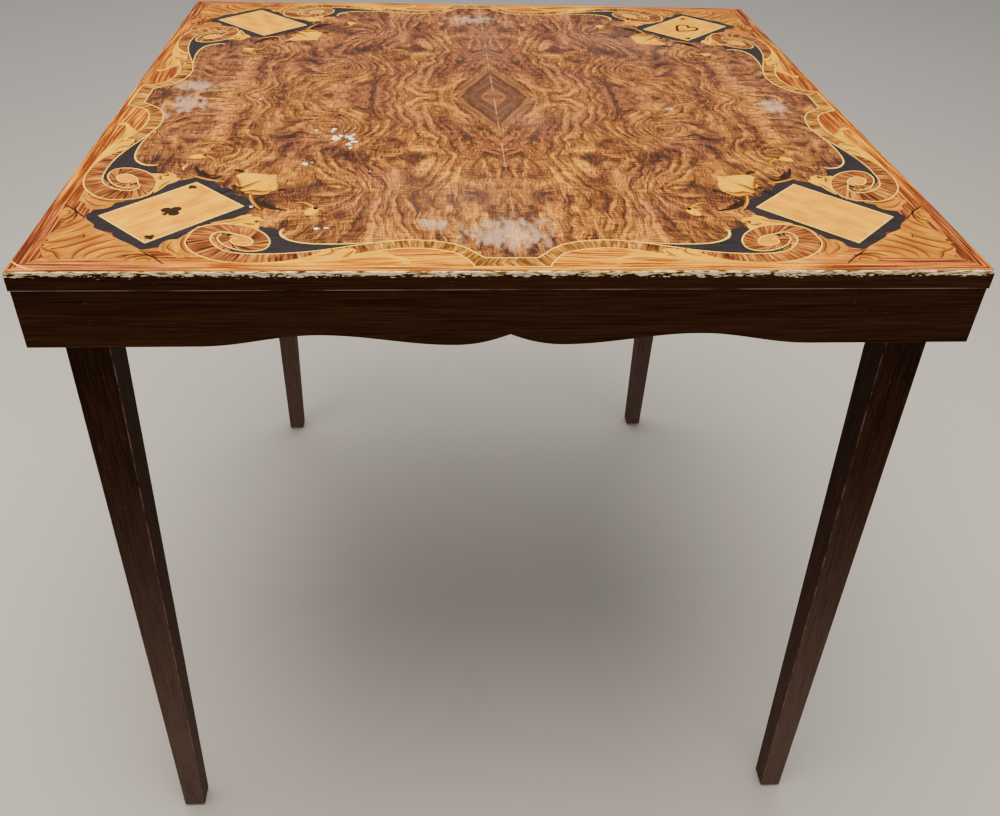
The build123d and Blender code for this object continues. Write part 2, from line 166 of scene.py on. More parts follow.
def stretched(tree: Tree, place: Source, size: Point, turn: float = 0.0, detail: float = 3.0,
              distortion: float = 0.0, limits: Point | None = None) -> Node:
    """Noise that is longer one way than the other, as grain is.

    Args:
        tree: Node tree to add to.
        place: Where the noise is looked up, in metres.
        size: Length of its features in millimetres along X, and their width along Y and Z.
        turn: Angle of the grain in degrees.
        detail: How many finer layers it has.
        distortion: How much it twists.
        limits: Noise at which the result is 0 and 1, or none for the noise as it is.

    Returns:
        Node that gives a number between 0 and 1.
    """
    if turn:
        place = add(tree, "Mapping", {"Vector": place, "Rotation": (0, 0, radians(turn))})
    scale = (frequency(size[0]), frequency(size[1]), frequency(size[1]))
    scaled = add(tree, "Mapping", {"Vector": place, "Scale": scale})
    noise = add(tree, "TexNoise", {
        "Vector": scaled, "Scale": 1.0, "Detail": detail, "Distortion": distortion})
    return add(tree, "MapRange", [noise, *limits], **SOFT) if limits else noise


@dataclass
class Surface:
    """What a finish hands to its shader: sources, or None where the value is even."""

    colour: Source
    roughness: Source | None = None
    height: Source | None = None


@dataclass(frozen=True)
class Finish:
    """Base of all finishes: a physical shader with a patterned colour."""

    name: str
    roughness: float = 0.4
    metallic: float = 0.0
    shine: float = 0.5
    # How far in millimetres the pattern stands out of the surface
    relief: float = 0.0

    def surface(self, tree: Tree, place: Socket) -> Surface:
        """Builds the pattern of this finish.

        Args:
            tree: Node tree to add to.
            place: Place on the table in metres, which stays put when the piece moves.

        Returns:
            Sources for the shader.
        """
        raise NotImplementedError

    def material(self) -> bpy.types.Material:
        """Builds the material once and hands it out after that.

        Returns:
            The material of this finish.
        """
        known = bpy.data.materials.get(self.name)
        if known:
            return known
        material = bpy.data.materials.new(self.name)
        material.use_nodes = True
        tree = material.node_tree
        tree.nodes.clear()
        surface = self.surface(tree, add(tree, "TexCoord", {}).outputs["Object"])
        inputs = {
            "Base Color": surface.colour,
            "Metallic": self.metallic,
            "Roughness": surface.roughness or self.roughness,
            "Specular IOR Level": self.shine,
        }
        if surface.height:
            inputs["Normal"] = add(tree, "Bump", {
                "Height": surface.height, "Distance": self.relief * MM, "Strength": 1.0})
        add(tree, "OutputMaterial", {"Surface": add(tree, "BsdfPrincipled", inputs)})
        return material


@dataclass(frozen=True)
class BurlWalnut(Finish):
    """Burl walnut veneer, book-matched in four and polished.

    To the eye it is a streaked brown figure that runs round swirling eyes, the same in all four
    quarters, with dark veins, a dark diamond at the centre, a pale haze where it is worn, faint
    painted reflections and painted shade towards the back.
    """

    name: str = "polished burl walnut veneer"
    roughness: float = 0.33
    shine: float = 0.22
    relief: float = 0.05
    # Where the two seams cross
    seam: Point = (7.0, 5.0)
    # Width of one step of the upright flames, and of the ripples along X and Y
    flame: float = 58.0
    ripple: Point = (30.0, 40.0)
    # Noises that push the figure about, each as its width and its reach: a broad one, a fine
    # one on top of it, and one for the outline of the diamond
    wander: Point = (100.0, 22.0)
    tremble: Point = (16.0, 4.0)
    fray: Point = (16.0, 3.0)
    # Widths along X and Y of the drift of the flames, of clouds and of dull parts
    drift: Point = (80.0, 150.0)
    cloud: Point = (34.0, 70.0)
    dull_part: Point = (90.0, 90.0)
    # Fibres that run up and across; real ones are finer than 0.1 and wouldn't show
    fibre_up: Point = (1.1, 16.0)
    fibre_across: Point = (22.0, 1.4)
    # Swells that the lines of the figure run round: middle, reach along X and Y, turn and height
    swells: tuple = (
        (166, 92, 78, 70, 12, 2.4), (272, 40, 90, 60, 0, 1.3), (70, 190, 50, 120, -14, 0.8),
        (262, 150, 50, 60, 20, 1.0), (150, 245, 70, 110, 24, 0.9), (330, 110, 50, 80, 0, -0.8),
        (215, 0, 60, 40, 0, -0.9),
    )
    # Lighter and darker parts of the figure, in the same way, with how much they lighten it
    zones: tuple = (
        (166, 94, 40, 34, 0, 0.04), (210, 118, 26, 96, 6, -0.142), (150, 165, 90, 48, 10, -0.12),
        (275, 48, 66, 56, 0, 0.104), (60, 186, 40, 64, 0, 0.104), (14, 190, 26, 110, 0, -0.076),
        (78, 30, 34, 86, 0, 0.104), (56, 60, 16, 60, 0, -0.087), (128, 20, 34, 40, 0, -0.065),
        (110, 280, 60, 80, 20, 0.064), (236, 240, 60, 50, -30, -0.087), (40, 300, 40, 60, 0, 0.064),
    )
    # Wood from the darkest to the lightest of the figure, in golden and in brown parts; the brown also
    # paints shade towards the back
    golden: Stops = (
        (0.3, "#341808"), (0.4, "#5c3214"), (0.48, "#824e1e"), (0.55, "#a86a24"),
        (0.63, "#cc8824"), (0.74, "#e8aa3c"))
    brown: Stops = (
        (0.3, "#2c140a"), (0.4, "#552c18"), (0.48, "#7a4626"), (0.56, "#9a5e32"),
        (0.65, "#bb7b3c"), (0.76, "#d8994c"))
    # Share of a step that a vein takes and how dark it is: first its shadow, then the vein
    veins: tuple = ((0.34, 0.46), (0.09, 0.9))
    vein_wood: str = "#2c150a"
    # Size of the parts where the veins fade
    fading: Point = (36.0, 60.0)
    # Half sizes of the dark diamond at the centre, and its rings from its middle outwards
    diamond: Point = (37.0, 84.0)
    rings: Stops = (
        (0.0, "#704422"), (0.08, "#54301c"), (0.13, "#74482a"), (0.16, "#986838"), (0.19, "#5c3826"),
        (0.26, "#482c20"), (0.32, "#64402a"), (0.38, "#4a2c1e"), (0.46, "#3a2014"), (0.5, "#4a2813"),
        (0.56, "#8a5a2c"), (0.63, "#6c4226"), (0.69, "#4a2813"), (0.76, "#8a5a2c"),
    )
    # Real pores are about 0.2 wide and too fine to show, so they are drawn coarser
    pore: Point = (0.9, 5.0)
    pore_dirt: str = "#2a1209"
    # Colour and strength of the seam up the top and of the one across it, the distances from
    # its middle where a seam ends and is full, and the size of the parts where it is open
    seams: tuple = (("#d8b484", 0.55), ("#341a0a", 0.8))
    seam_width: Point = (0.6, 0.25)
    seam_part: Point = (40.0, 40.0)
    # Where the polish is worn to a pale haze: middle on the whole top and reach
    hazes: tuple = (
        (-316, 33, 40, 36), (-314, -24, 40, 52), (312, -18, 32, 50), (2, -318, 80, 60),
        (-8, 302, 66, 40), (-334, -62, 16, 20), (-62, -300, 26, 20),
    )
    haze: str = "#d2b496"
    haze_edge: Point = (7.0, 16.0)
    # Wide faint painted reflections of soft light on the polish, in the same way
    painted_reflection_spots: tuple = (
        (10, 200, 60, 190), (-40, -250, 150, 120), (40, -60, 60, 100), (190, 210, 150, 120))
    painted_reflection: str = "#9a7c6c"

    def hills(self, tree: Tree, place: Source, spots: tuple) -> list[tuple[Socket, float]]:
        """Soft round hills, each one at its middle and zero at its reach.

        Args:
            tree: Node tree to add to.
            place: Place that they are looked up by.
            spots: Middle, reach along X and Y, turn in degrees and height of each.

        Returns:
            Each hill with its height.
        """
        hills = []
        for x, y, reach_x, reach_y, turn, height in spots:
            local = add(tree, "Mapping", {
                "Vector": place, "Location": (x * MM, y * MM, 0), "Rotation": (0, 0, radians(turn)),
                "Scale": (reach_x * MM, reach_y * MM, 1)}, vector_type="TEXTURE")
            hill = add(tree, "TexGradient", [local], gradient_type="QUADRATIC_SPHERE")
            hills.append((hill.outputs["Fac"], height))
        return hills

    def quarter(self, tree: Tree, place: Socket) -> Node:
        """Place in one quarter, the same in all four as the leaves of a book are.

        Args:
            tree: Node tree to add to.
            place: Place on the table.

        Returns:
            Node that gives the distances from the two seams.
        """
        centre = (self.seam[0] * MM, self.seam[1] * MM, 0)
        moved = add(tree, "VectorMath", [place, centre], operation="SUBTRACT")
        folded = add(tree, "VectorMath", [moved], operation="ABSOLUTE")
        return add(tree, "VectorMath", [folded, (1, 1, 0)], operation="MULTIPLY")

    def warped(self, tree: Tree, place: Source, size: float, reach: float) -> Node:
        """Place pushed about by noise.

        Args:
            tree: Node tree to add to.
            place: Place to push about.
            size: Width of the noise's features in millimetres.
            reach: How far in millimetres a place is pushed at most.

        Returns:
            Node that gives the new place, flat on the top.
        """
        noise = add(tree, "TexNoise", {"Vector": place, "Scale": frequency(size), "Detail": 3.0})
        centred = add(tree, "VectorMath", [noise.outputs["Color"], (0.5, 0.5, 0.5)], operation="SUBTRACT")
        shift = add(tree, "VectorMath", {0: centred, "Scale": 2 * reach * MM}, operation="SCALE")
        moved = add(tree, "VectorMath", [place, shift], operation="ADD")
        return add(tree, "VectorMath", [moved, (1, 1, 0)], operation="MULTIPLY")

    def surface(self, tree: Tree, place: Socket) -> Surface:
        """Builds the figure, dark veins, diamond, seams, worn polish, painted reflections and shade.

        Args:
            tree: Node tree to add to.
            place: Place on the table.

        Returns:
            Sources of its colour and relief.
        """
        quarter = self.quarter(tree, place)
        wandering = self.warped(tree, self.warped(tree, quarter, *self.wander), *self.tremble)
        reach = self.diamond_reach(tree, self.warped(tree, quarter, *self.fray))
        contour = self.contour(tree, wandering, reach)
        split = add(tree, "SeparateXYZ", [wandering]).outputs
        flow = add(tree, "CombineXYZ", [
            weighed(tree, 0.0, (contour, 8.0)),
            weighed(tree, 0.0, (split[0], frequency(self.ripple[0]))),
            weighed(tree, 0.0, (split[1], frequency(self.ripple[1]))),
        ])
        figure = add(tree, "TexNoise", {"Vector": flow, "Scale": 1.0, "Detail": 7.0, "Roughness": 0.62})
        clouds = stretched(tree, wandering, self.cloud)
        fibres = weighed(tree, stretched(tree, wandering, self.fibre_up, detail=4),
                         (stretched(tree, wandering, self.fibre_across, detail=4), 1.0))
        tone = weighed(tree, -0.69, (figure, 0.8), (clouds, 0.32), (fibres, 0.62),
                       *self.hills(tree, wandering, self.zones))
        # Brown in random parts, and browner and darker towards the back as painted shade where the light
        # falls off
        backwards = add(tree, "SeparateXYZ", [place]).outputs[1]
        brown_parts_and_painted_falloff = weighed(tree, stretched(tree, wandering, self.dull_part), (backwards, 0.35))
        colour = layered(tree, add(tree, "ValToRGB", [tone], self.golden), (
            add(tree, "MapRange", [brown_parts_and_painted_falloff, 0.36, 0.62], **SOFT), 1.0,
            add(tree, "ValToRGB", [tone], self.brown)))
        colour = self.with_veins(tree, wandering, contour, figure, colour)
        ragged = weighed(tree, -0.325, (reach, 1.0), (figure, 0.65))
        colour = self.with_diamond(tree, ragged, colour)
        return Surface(self.with_wear(tree, place, quarter, colour), height=fibres)

    def contour(self, tree: Tree, place: Node, reach: Source) -> Source:
        """Height whose contour lines the figure follows: flames, swells and the nested diamond.

        Args:
            tree: Node tree to add to.
            place: Place in the quarter.
            reach: Distance from the centre in steps of the diamond.

        Returns:
            The height.
        """
        across = add(tree, "SeparateXYZ", [place]).outputs[0]
        drift = stretched(tree, place, self.drift, detail=2)
        height = weighed(tree, 0.0, (across, frequency(self.flame)), (drift, 1.6),
                         *self.hills(tree, place, self.swells))
        inside = add(tree, "MapRange", [reach, 2.4, 1.3], **SOFT)
        nested = weighed(tree, 0.0, (reach, 1.3), (height, -1.0))
        return add(tree, "Math", [nested, inside, height], operation="MULTIPLY_ADD")

    def with_veins(self, tree: Tree, place: Node, contour: Source, figure: Node,
                   colour: Source) -> Source:
        """Draws dark veins with a soft shadow along some contours, which come and go.

        Args:
            tree: Node tree to add to.
            place: Place in the quarter.
            contour: Height whose contours they follow.
            figure: Noise that lets them waver.
            colour: Colour under them.

        Returns:
            Colour with the veins.
        """
        wavering = weighed(tree, contour, (figure, 0.5))
        folded = add(tree, "Math", [weighed(tree, 0.0, (wavering, 3.4)), 0.5], operation="PINGPONG")
        fading = stretched(tree, place, self.fading, detail=4, limits=(0.38, 0.54))
        for width, strength in self.veins:
            vein = add(tree, "MapRange", [folded, width, 0.0], **SOFT)
            share = add(tree, "Math", [vein, fading], operation="MULTIPLY")
            colour = layered(tree, colour, (share, strength, self.vein_wood))
        return colour

    def diamond_reach(self, tree: Tree, place: Node) -> Source:
        """Distance from the centre in steps of the diamond, which is one on its outline."""
        split = add(tree, "SeparateXYZ", [place]).outputs
        return weighed(tree, 0.0, *((split[axis], frequency(self.diamond[axis])) for axis in (0, 1)))

    def with_diamond(self, tree: Tree, reach: Source, colour: Source) -> Source:
        """Lays the nested dark diamond over the figure.

        Args:
            tree: Node tree to add to.
            reach: Distance from the centre, ragged as the figure is.
            colour: Colour under it.

        Returns:
            Colour with the diamond.
        """
        rings = add(tree, "ValToRGB", [weighed(tree, 0.0, (reach, 0.5))], self.rings)
        inside = add(tree, "MapRange", [reach, 1.5, 0.95], **SOFT)
        return layered(tree, colour, (inside, 0.72, rings))

    def with_wear(self, tree: Tree, place: Socket, quarter: Node, colour: Source) -> Source:
        """Adds the pores, the seam lines, the pale haze of worn polish and faint painted reflections.

        Args:
            tree: Node tree to add to.
            place: Place on the table.
            quarter: Place in the quarter.
            colour: Colour under them.

        Returns:
            Colour with the wear and the painted reflections.
        """
        flat = add(tree, "VectorMath", [place, (1, 1, 0)], operation="MULTIPLY")
        pores = stretched(tree, quarter, self.pore, detail=2, limits=(0.62, 0.7))
        colour = layered(tree, colour, (pores, 0.5, self.pore_dirt))
        split = add(tree, "SeparateXYZ", [quarter]).outputs
        patchy = stretched(tree, flat, self.seam_part, detail=4, limits=(0.4, 0.6))
        widths = [width * MM for width in self.seam_width]
        for axis, (code, strength) in enumerate(self.seams):
            line = add(tree, "MapRange", [split[axis], *widths], **SOFT)
            share = add(tree, "Math", [line, patchy], operation="MULTIPLY")
            colour = layered(tree, colour, (share, strength, code))
        haze, painted_reflection = (
            weighed(tree, 0.0, *self.hills(tree, flat, tuple((*spot, 0, 1.0) for spot in spots)))
            for spots in (self.hazes, self.painted_reflection_spots))
        ragged = weighed(tree, haze, (stretched(tree, flat, self.haze_edge, detail=7), 2.2))
        share = add(tree, "Math", [
            add(tree, "MapRange", [ragged, 1.2, 1.85], **SOFT),
            add(tree, "MapRange", [haze, 0.0, 0.3], **SOFT)], operation="MULTIPLY")
        # Faint grey-purple painted reflections of soft light lie over the worn haze
        return layered(tree, colour, (share, 0.52, self.haze), (painted_reflection, 0.16, self.painted_reflection))


@dataclass(frozen=True)
class Veneer(Finish):
    """Base of the thinner veneers, whose old polish has only a soft shine left."""

    roughness: float = 0.36
    shine: float = 0.08
    relief: float = 0.05

    def offsets(self, tree: Tree, place: Socket) -> list[Socket]:
        """Distances in metres from the middle of the top along X and Y."""
        folded = add(tree, "VectorMath", [place], operation="ABSOLUTE")
        return add(tree, "SeparateXYZ", [folded]).outputs[:2]


@dataclass(frozen=True)
class StraightVeneer(Veneer):
    """Straight-grained veneer of the border, sliced along the grain and polished.

    To the eye it is close long streaks, reddish at the corners and golden in the middle of a side.
    """

    name: str = "polished straight-grained rosewood veneer"
    streak: Point = (60.0, 1.9)
    band: Point = (160.0, 9.0)
    # Real pores are about 0.2 wide and too fine to show, so they are drawn coarser
    pore: Point = (9.0, 0.9)
    pore_dirt: str = "#6c3414"
    red: Stops = (
        (0.34, "#54240f"), (0.41, "#86441e"), (0.48, "#b0622a"), (0.56, "#cc7e36"), (0.69, "#e29c44"))
    gold: Stops = (
        (0.34, "#74340e"), (0.42, "#ac5e14"), (0.48, "#d08410"), (0.55, "#e29a0c"), (0.68, "#f2b40c"))
    # Distances from the middle of a side where gold ends and all is red, and how ragged that is
    turning: Point = (235.0, 320.0)
    raggedness: float = 60.0

    def surface(self, tree: Tree, place: Socket) -> Surface:
        """Builds long streaks along the side that warm and darken towards its ends.

        Args:
            tree: Node tree to add to.
            place: Place on the table.

        Returns:
            Sources of its colour and relief.
        """
        sheet = add(tree, "UVMap", {}, uv_map="grain")
        streaks = stretched(tree, sheet, self.streak, detail=4)
        bands = stretched(tree, sheet, self.band)
        across, deep = self.offsets(tree, place)
        # The front and back lengths catch a little more light along their grain
        lengthwise = add(tree, "Math", [deep, across], operation="GREATER_THAN")
        tone = weighed(tree, -0.375, (streaks, 1.05), (bands, 0.5), (lengthwise, 0.07))
        ragged = weighed(tree, add(tree, "Math", [across, deep], operation="MINIMUM"),
                         (bands, self.raggedness * MM))
        ends = add(tree, "MapRange", [ragged, *(MM * limit for limit in self.turning)], **SOFT)
        pores = stretched(tree, sheet, self.pore, limits=(0.55, 0.68))
        colour = layered(tree, add(tree, "ValToRGB", [tone], self.gold),
                         (ends, 1.0, add(tree, "ValToRGB", [tone], self.red)),
                         (pores, 0.55, self.pore_dirt))
        return Surface(colour, height=streaks)


@dataclass(frozen=True)
class CrossBanding(Veneer):
    """Veneer laid with its grain across a scroll, and polished.

    To the eye it is close red-brown bars with fine dark lines, paler near the middle of a side.
    """

    name: str = "polished cross-banded tulipwood veneer"
    # Width of a bar along the strip, and its length, which is far more than the strip is wide
    bar: Point = (2.5, 1500.0)
    broad_bar: Point = (16.0, 2000.0)
    dark: Stops = (
        (0.28, "#2a1208"), (0.4, "#5c2e16"), (0.5, "#8a4e22"), (0.6, "#b0702a"), (0.72, "#d69634"))
    pale: Stops = (
        (0.28, "#321809"), (0.39, "#683c14"), (0.49, "#946020"), (0.6, "#ba8226"), (0.72, "#e0a830"))
    # Distances from the middle of a side where the pale part ends and where it is full
    paling: Point = (185.0, 70.0)

    def surface(self, tree: Tree, place: Socket) -> Surface:
        """Builds bars across the strip from the length along it.

        Args:
            tree: Node tree to add to.
            place: Place on the table.

        Returns:
            Sources of its colour and relief.
        """
        strip = add(tree, "UVMap", {}, uv_map="strip")
        bars = stretched(tree, strip, self.bar, detail=2)
        tone = weighed(tree, -0.2, (bars, 0.9), (stretched(tree, strip, self.broad_bar), 0.5))
        nearness = add(tree, "Math", self.offsets(tree, place), operation="MINIMUM")
        middle = add(tree, "MapRange", [nearness, *(MM * limit for limit in self.paling)], **SOFT)
        colour = layered(tree, add(tree, "ValToRGB", [tone], self.dark),
                         (middle, 1.0, add(tree, "ValToRGB", [tone], self.pale)))
        return Surface(colour, height=bars)


@dataclass(frozen=True)
class EbonisedVeneer(Veneer):
    """Veneer stained black and polished, which age has faded to a soft purple-brown black."""

    name: str = "polished ebonised veneer"
    roughness: float = 0.38
    shine: float = 0.3
    relief: float = 0.04
    streak: Point = (30.0, 2.0)
    black: str = "#150e10"
    faded: str = "#2d2326"

    def surface(self, tree: Tree, place: Socket) -> Surface:
        """Builds faint streaks of worn stain.

        Args:
            tree: Node tree to add to.
            place: Place on the table; not used.

        Returns:
            Sources of its colour and relief.
        """
        streaks = stretched(tree, add(tree, "UVMap", {}, uv_map="grain"), self.streak, detail=4)
        worn = add(tree, "MapRange", [streaks, 0.35, 0.75], **SOFT)
        return Surface(layered(tree, self.black, (worn, 1.0, self.faded)), height=streaks)


@dataclass(frozen=True)
class SandShadedSatinwood(Veneer):
    """Golden satinwood, scorched in hot sand where the edge of a strip asks for shade."""

    name: str = "polished sand-shaded satinwood"
    relief: float = 0.04
    streak: Point = (28.0, 1.8)
    bloom: Point = (30.0, 14.0)
    dark: str = "#c47c02"
    middle: str = "#e69e02"
    light: str = "#f8bc02"
    toasted: str = "#a8561a"
    scorch: str = "#34160a"

    def surface(self, tree: Tree, place: Socket) -> Surface:
        """Builds soft golden grain, darkened towards the scorched side of each strip.

        Args:
            tree: Node tree to add to.
            place: Place on the table; not used.

        Returns:
            Sources of its colour and relief.
        """
        sheet = add(tree, "UVMap", {}, uv_map="grain")
        grain = stretched(tree, sheet, self.streak, detail=4)
        tone = weighed(tree, 0.0, (grain, 0.5), (stretched(tree, sheet, self.bloom, detail=2), 0.5))
        gold = add(tree, "ValToRGB", [tone], ((0.34, self.dark), (0.5, self.middle), (0.66, self.light)))
        across = add(tree, "SeparateXYZ", [add(tree, "UVMap", {}, uv_map="strip")]).outputs[1]
        burnt = add(tree, "Math", [1.0, across], operation="SUBTRACT", use_clamp=True)
        toasted = add(tree, "Math", [burnt, 0.8], operation="POWER")
        scorched = add(tree, "Math", [burnt, 2.4], operation="POWER")
        colour = layered(tree, gold, (toasted, 1.0, self.toasted), (scorched, 1.0, self.scorch))
        return Surface(colour, height=grain)


@dataclass(frozen=True)
class Boxwood(Finish):
    """Pale boxwood stringing, close-grained and a little yellowed."""

    name: str = "polished boxwood stringing"
    roughness: float = 0.38
    shine: float = 0.3

    def surface(self, tree: Tree, place: Socket) -> Surface:
        """Builds slight changes of tone along the line."""
        return Surface(layered(tree, "#f0b81e", (stretched(tree, place, (9, 9)), 1.0, "#ffe070")))


@dataclass(frozen=True)
class EngravedLine(Finish):
    """Fine line cut in the veneer and filled with mastic: brown-black, lighter where it is thin."""

    name: str = "dark mastic in engraved lines"
    roughness: float = 0.45
    shine: float = 0.15

    def surface(self, tree: Tree, place: Socket) -> Surface:
        """Builds the thin places."""
        return Surface(layered(tree, "#180b06", (stretched(tree, place, (5, 5)), 1.0, "#341b0c")))


class Grain(Enum):
    """Way the grain runs, as the turns about Y and Z in degrees that bring it to X."""

    X = (0.0, 0.0)
    Y = (0.0, 90.0)
    Z = (90.0, 0.0)

    def turned(self, tree: Tree, place: Socket) -> Node:
        """Place turned so that the grain runs along X."""
        tilt, turn = self.value
        return add(tree, "Mapping", {"Vector": place, "Rotation": (0, radians(tilt), radians(turn))})


@dataclass(frozen=True)
class StainedWalnut(Finish):
    """Solid walnut, stained very dark and varnished.

    To the eye it is nearly black with brown streaks and pale scuffs, with a painted highlight along
    the rounded arrises, a painted pale sheen low down on a leg, and bare and splintered wood along the
    top of a lipping.
    """

    name: str = "dark stained walnut"
    grain: Grain = Grain.X
    roughness: float = 0.55
    shine: float = 0.02
    relief: float = 0.06
    # Real fibres are finer than 0.1 and too fine to show, so the streaks are drawn coarser
    streak: Point = (70.0, 1.3)
    band: Point = (260.0, 14.0)
    scuff: Point = (30.0, 0.9)
    # Sizes of the patches of the painted highlight on an arris, and of the parts where a joint is open
    arris_highlight_part: Point = (14.0, 14.0)
    joint_part: Point = (40.0, 40.0)
    dark: str = "#1e0d08"
    light: str = "#482c19"
    # Colour of the scuffs, and of the painted highlight along the arrises
    scuff_and_arris_highlight: str = "#6e4a30"
    # Colour of the painted pale sheen low down on a leg
    painted_low_sheen: str = "#645048"
    glue: str = "#8a7866"
    # Height above which the upper arris is worn to bare wood, or none
    worn_from: float = 0.0
    # How ragged that limit is, how softly it ends, and the chips, splinters and fibres in it
    raggedness: float = 9.0
    fringe: float = 0.9
    chip: Point = (14.0, 2.2)
    splinter: Point = (3.0, 1.2)
    fibre: Point = (7.0, 1.1)
    bare: Stops = ((0.36, "#4a2c16"), (0.44, "#a87c48"), (0.5, "#ecd6a2"), (0.6, "#fff0cc"))
    # Height of a joint whose dirt and glue show as a thin pale line, or none
    joint_height: float = 0.0
    # Height below which a painted pale sheen lightens the wood, or none, and where it is strongest
    painted_sheen_below: float = 0.0
    painted_sheen_fullest: float = 40.0

    def surface(self, tree: Tree, place: Socket) -> Surface:
        """Builds dark streaks, rubbed arrises and, on a lipping, the bare splintered edge.

        Args:
            tree: Node tree to add to.
            place: Place on the table.

        Returns:
            Sources of its colour and relief.
        """
        turned = self.grain.turned(tree, place)
        streaks = stretched(tree, turned, self.streak, detail=6)
        bands = stretched(tree, turned, self.band, distortion=0.3)
        tone = weighed(tree, 0.0, (streaks, 0.75), (bands, 0.25))
        stain = add(tree, "MapRange", [tone, 0.24, 0.8], **SOFT)
        colour = layered(tree, self.dark, (stain, 1.0, self.light))
        height = add(tree, "SeparateXYZ", [place]).outputs[2]
        if self.painted_sheen_below:
            colour = self.with_painted_low_sheen(tree, height, streaks, colour)
        scuffs = stretched(tree, turned, self.scuff, turn=6, detail=2, limits=(0.69, 0.75))
        colour = layered(tree, colour, (scuffs, 0.5, self.scuff_and_arris_highlight))
        if self.joint_height:
            away = add(tree, "Math", [height, self.joint_height * MM], operation="SUBTRACT")
            line = add(tree, "MapRange", [
                add(tree, "Math", [away], operation="ABSOLUTE"), 0.5 * MM, 0.25 * MM], **SOFT)
            patchy = stretched(tree, place, self.joint_part, detail=4, limits=(0.3, 0.6))
            colour = layered(tree, colour, (line, patchy, self.glue))
        colour = self.with_painted_arris_highlight(tree, place, colour)
        if self.worn_from:
            colour = self.with_bare_edge(tree, turned, height, colour)
        return Surface(colour, height=streaks)

    def with_painted_low_sheen(self, tree: Tree, height: Socket, streaks: Node, colour: Source) -> Source:
        """Paints a pale sheen on the low part, most on the faces that look to the front and the back.

        Args:
            tree: Node tree to add to.
            height: Height above the floor.
            streaks: Grain that breaks up the painted sheen.
            colour: Colour under it.

        Returns:
            Colour with the painted sheen.
        """
        normal = add(tree, "SeparateXYZ", [add(tree, "TexCoord", {}).outputs["Normal"]]).outputs[1]
        facing = weighed(tree, 0.55, (add(tree, "Math", [normal], operation="ABSOLUTE"), 0.45))
        # Painted sheen: lighter towards the floor, most on the faces that look to the front and the back
        fall = add(tree, "MapRange", [height, self.painted_sheen_below * MM, self.painted_sheen_fullest * MM], **SOFT)
        painted_low_sheen = add(tree, "Math", [fall, facing], operation="MULTIPLY")
        return layered(tree, colour, (painted_low_sheen, weighed(tree, 0.32, (streaks, 1.1)), self.painted_low_sheen))

    def with_painted_arris_highlight(self, tree: Tree, place: Socket, colour: Source) -> Source:
        """Paints a patchy highlight along the rounded arrises, where the surface turns away from the flat
        faces.

        Args:
            tree: Node tree to add to.
            place: Place on the table.
            colour: Colour under it.

        Returns:
            Colour with the painted highlight on the arris.
        """
        normal = add(tree, "TexCoord", {}).outputs["Normal"]
        turned = add(tree, "VectorMath", [normal], operation="ABSOLUTE")
        x, y, z = add(tree, "SeparateXYZ", [turned]).outputs
        flat = add(tree, "Math", [x, add(tree, "Math", [y, z], operation="MAXIMUM")], operation="MAXIMUM")
        # Painted highlight along the rounded arrises, in patches
        edge = add(tree, "MapRange", [flat, 0.985, 0.86], **SOFT)
        patchy = stretched(tree, place, self.arris_highlight_part, detail=4, limits=(0.35, 0.7))
        return layered(tree, colour, (edge, patchy, self.scuff_and_arris_highlight))

    def with_bare_edge(self, tree: Tree, turned: Node, height: Socket, colour: Source) -> Source:
        """Lays pale bare wood along the top of a lipping, with a ragged lower limit.

        Args:
            tree: Node tree to add to.
            turned: Place with the grain along X.
            height: Height above the floor.
            colour: Colour under it.

        Returns:
            Colour with the bare wood.
        """
        reach = self.raggedness * MM
        ragged = weighed(tree, -reach, (stretched(tree, turned, self.chip, detail=6), reach),
                         (stretched(tree, turned, self.splinter, detail=4), reach), (height, 1.0))
        limits = (self.worn_from * MM, (self.worn_from + self.fringe) * MM)
        bare = add(tree, "MapRange", [ragged, *limits], **SOFT)
        fibres = add(tree, "ValToRGB", [stretched(tree, turned, self.fibre, detail=5)], self.bare)
        return layered(tree, colour, (bare, 1.0, fibres))


@dataclass(frozen=True)
class PlainWood(Finish):
    """Planed softwood or core board without polish: dry, dull and open-grained."""

    name: str = "planed softwood"
    grain: Grain = Grain.X
    roughness: float = 0.72
    relief: float = 0.1
    ring: Point = (220.0, 7.0)
    # Real fibres are finer than 0.1 and too fine to show, so they are drawn coarser
    fibre: Point = (30.0, 0.8)
    dark: str = "#6f4a2c"
    light: str = "#a67c50"

    def surface(self, tree: Tree, place: Socket) -> Surface:
        """Builds growth rings and fine fibres along the grain.

        Args:
            tree: Node tree to add to.
            place: Place on the table.

        Returns:
            Sources of its colour and relief.
        """
        turned = self.grain.turned(tree, place)
        fibres = stretched(tree, turned, self.fibre)
        rings = stretched(tree, turned, self.ring, distortion=0.4)
        tone = weighed(tree, 0.0, (fibres, 0.4), (rings, 0.6))
        summer = add(tree, "MapRange", [tone, 0.38, 0.62], **SOFT)
        return Surface(layered(tree, self.dark, (summer, 1.0, self.light)), height=fibres)


